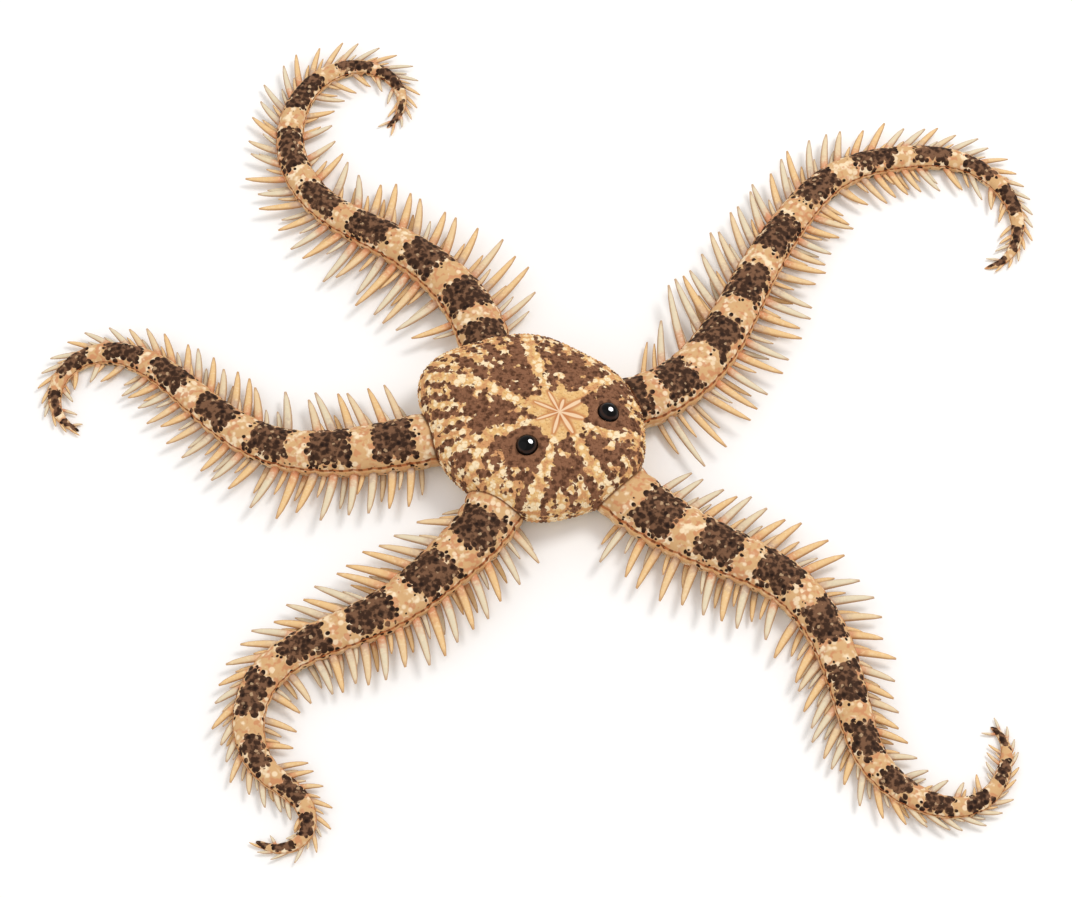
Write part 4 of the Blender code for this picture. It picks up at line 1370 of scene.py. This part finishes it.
class BuildEyes(bpy.types.Operator):
    """Two glossy bead eyes set in the disc"""

    bl_idname = "brittle_star.build_eyes"
    bl_label = "Build eyes"

    ROUND = 48
    RINGS = 32

    def execute(self, context):
        finish = eye_finish(context.scene.star_colours)
        radius = context.scene.star_sizes.eye_radius / MM
        for name, place in EYES.items():
            centre, normal = eye_place(*place)
            eye = self.bead(name + "_bead", centre + DISC_CENTRE, normal, radius)
            eye.data.materials.append(finish)
            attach(eye, "root")
            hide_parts(name)
            bpy.data.collections[SHINY].objects.link(eye)
        return {"FINISHED"}

    def bead(self, name, centre, normal, radius):
        """A ball whose pole looks along normal. gaze is the angle from that pole, in degrees."""
        turn = Vector(normal).to_track_quat("Z", "Y").to_matrix()
        tilt = np.radians(np.linspace(0, 180, self.RINGS + 1)[1:-1])
        angle = np.linspace(0, TURN, self.ROUND, endpoint=False)
        tilts, angles = [a.ravel() for a in np.meshgrid(tilt, angle, indexing="ij")]
        tilts, angles = np.append(tilts, (0.0, math.pi)), np.append(angles, (0.0, 0.0))
        out = np.sin(tilts)
        ball = np.stack([out * np.cos(angles), out * np.sin(angles), np.cos(tilts)], -1)
        points = centre + radius * ball @ np.array(turn).T
        return mesh_from(name, points, ball_faces(len(tilt), self.ROUND), {"gaze": np.degrees(tilts)})


class BuildStage(bpy.types.Operator):
    """Plain pale floor, soft light and the camera"""

    bl_idname = "brittle_star.build_stage"
    bl_label = "Build stage"

    def execute(self, context):
        self.floor(context)
        self.world(context)
        lights = {name: self.light(name, lamp) for name, lamp in LAMPS.items()}
        lights["catch"].visible_diffuse = False
        lights["catch"].light_linking.receiver_collection = bpy.data.collections.new(SHINY)
        self.camera(context)
        context.scene.view_settings.view_transform = "Standard"
        return {"FINISHED"}

    def floor(self, context):
        half = context.scene.star_sizes.floor_size / MM / 2
        ways = ((-1, -1), (1, -1), (1, 1), (-1, 1))
        corners = np.array([(x * half, y * half, -FLOOR_DROP) for x, y in ways])
        board = mesh_from("floor", corners, [(0, 1, 2, 3)], {})
        board.data.materials.append(floor_finish(context.scene.star_colours))

    def world(self, context):
        world = bpy.data.worlds.new("soft room")
        context.scene.world = world
        world.use_nodes = True
        sky = world.node_tree.nodes["Background"]
        sky.inputs["Color"].default_value = WHITE
        sky.inputs["Strength"].default_value = ROOM_STRENGTH

    def light(self, name, lamp):
        """A round lamp that looks at the middle of the floor."""
        data = bpy.data.lights.new(name, "AREA")
        data.shape = "DISK"
        data.size = lamp.width
        data.energy = lamp.power
        light = placed(name, data)
        light.location = lamp.place
        light.rotation_euler = (-Vector(lamp.place)).to_track_quat("-Z", "Y").to_euler()
        return light

    def camera(self, context):
        """Looks along +Y and down, with the disc where the photograph has it."""
        rise = math.radians(CAMERA_ELEVATION)
        back = np.array((0.0, -math.cos(rise), math.sin(rise)))
        right = np.array((1.0, 0.0, 0.0))
        up = np.cross(back, right)
        off = (np.array(DISC_PIXEL) - (PHOTO_WIDTH / 2, PHOTO_HEIGHT / 2)) / PIXELS_PER_MM
        aim = DISC_CENTRE + (0.0, 0.0, DISC_AIM_HEIGHT) - off[0] * right + off[1] * up
        away = CAMERA_LENS / CAMERA_SENSOR * PHOTO_WIDTH / PIXELS_PER_MM
        data = bpy.data.cameras.new("camera")
        data.lens = CAMERA_LENS
        data.sensor_width = CAMERA_SENSOR
        data.clip_start = NEAREST_SHOWN
        camera = placed("camera", data)
        camera.location = Vector((aim + away * back) * MM)
        camera.rotation_euler = (math.radians(90 - CAMERA_ELEVATION), 0.0, 0.0)
        context.scene.camera = camera


class StarPanel(bpy.types.Panel):
    """Lists the pieces of the brittle star and their sizes"""

    bl_idname = "VIEW3D_PT_brittle_star"
    bl_label = "Brittle star"
    bl_space_type = "VIEW_3D"
    bl_region_type = "UI"
    bl_category = "Brittle star"

    def draw(self, context):
        for operator in OPERATORS:
            self.layout.operator(operator.bl_idname)
        for group in (context.scene.star_sizes, context.scene.star_colours):
            column = self.layout.column()
            for name in group.__annotations__:
                column.prop(group, name)


OPERATORS = (BuildStage, BuildSkin, BuildGranules, BuildSpines, BuildEyes)
CLASSES = (StarColours, StarSizes, *OPERATORS, StarPanel)


def register():
    for cls in CLASSES:
        bpy.utils.register_class(cls)
    bpy.types.Scene.star_colours = bpy.props.PointerProperty(type=StarColours)
    bpy.types.Scene.star_sizes = bpy.props.PointerProperty(type=StarSizes)


def unregister():
    del bpy.types.Scene.star_sizes
    del bpy.types.Scene.star_colours
    for cls in reversed(CLASSES):
        bpy.utils.unregister_class(cls)


def main():
    register()
    bpy.ops.brittle_star.build_stage()
    bpy.ops.brittle_star.build_skin()
    bpy.ops.brittle_star.build_granules()
    bpy.ops.brittle_star.build_spines()
    bpy.ops.brittle_star.build_eyes()


if __name__ == "__main__":
    main()
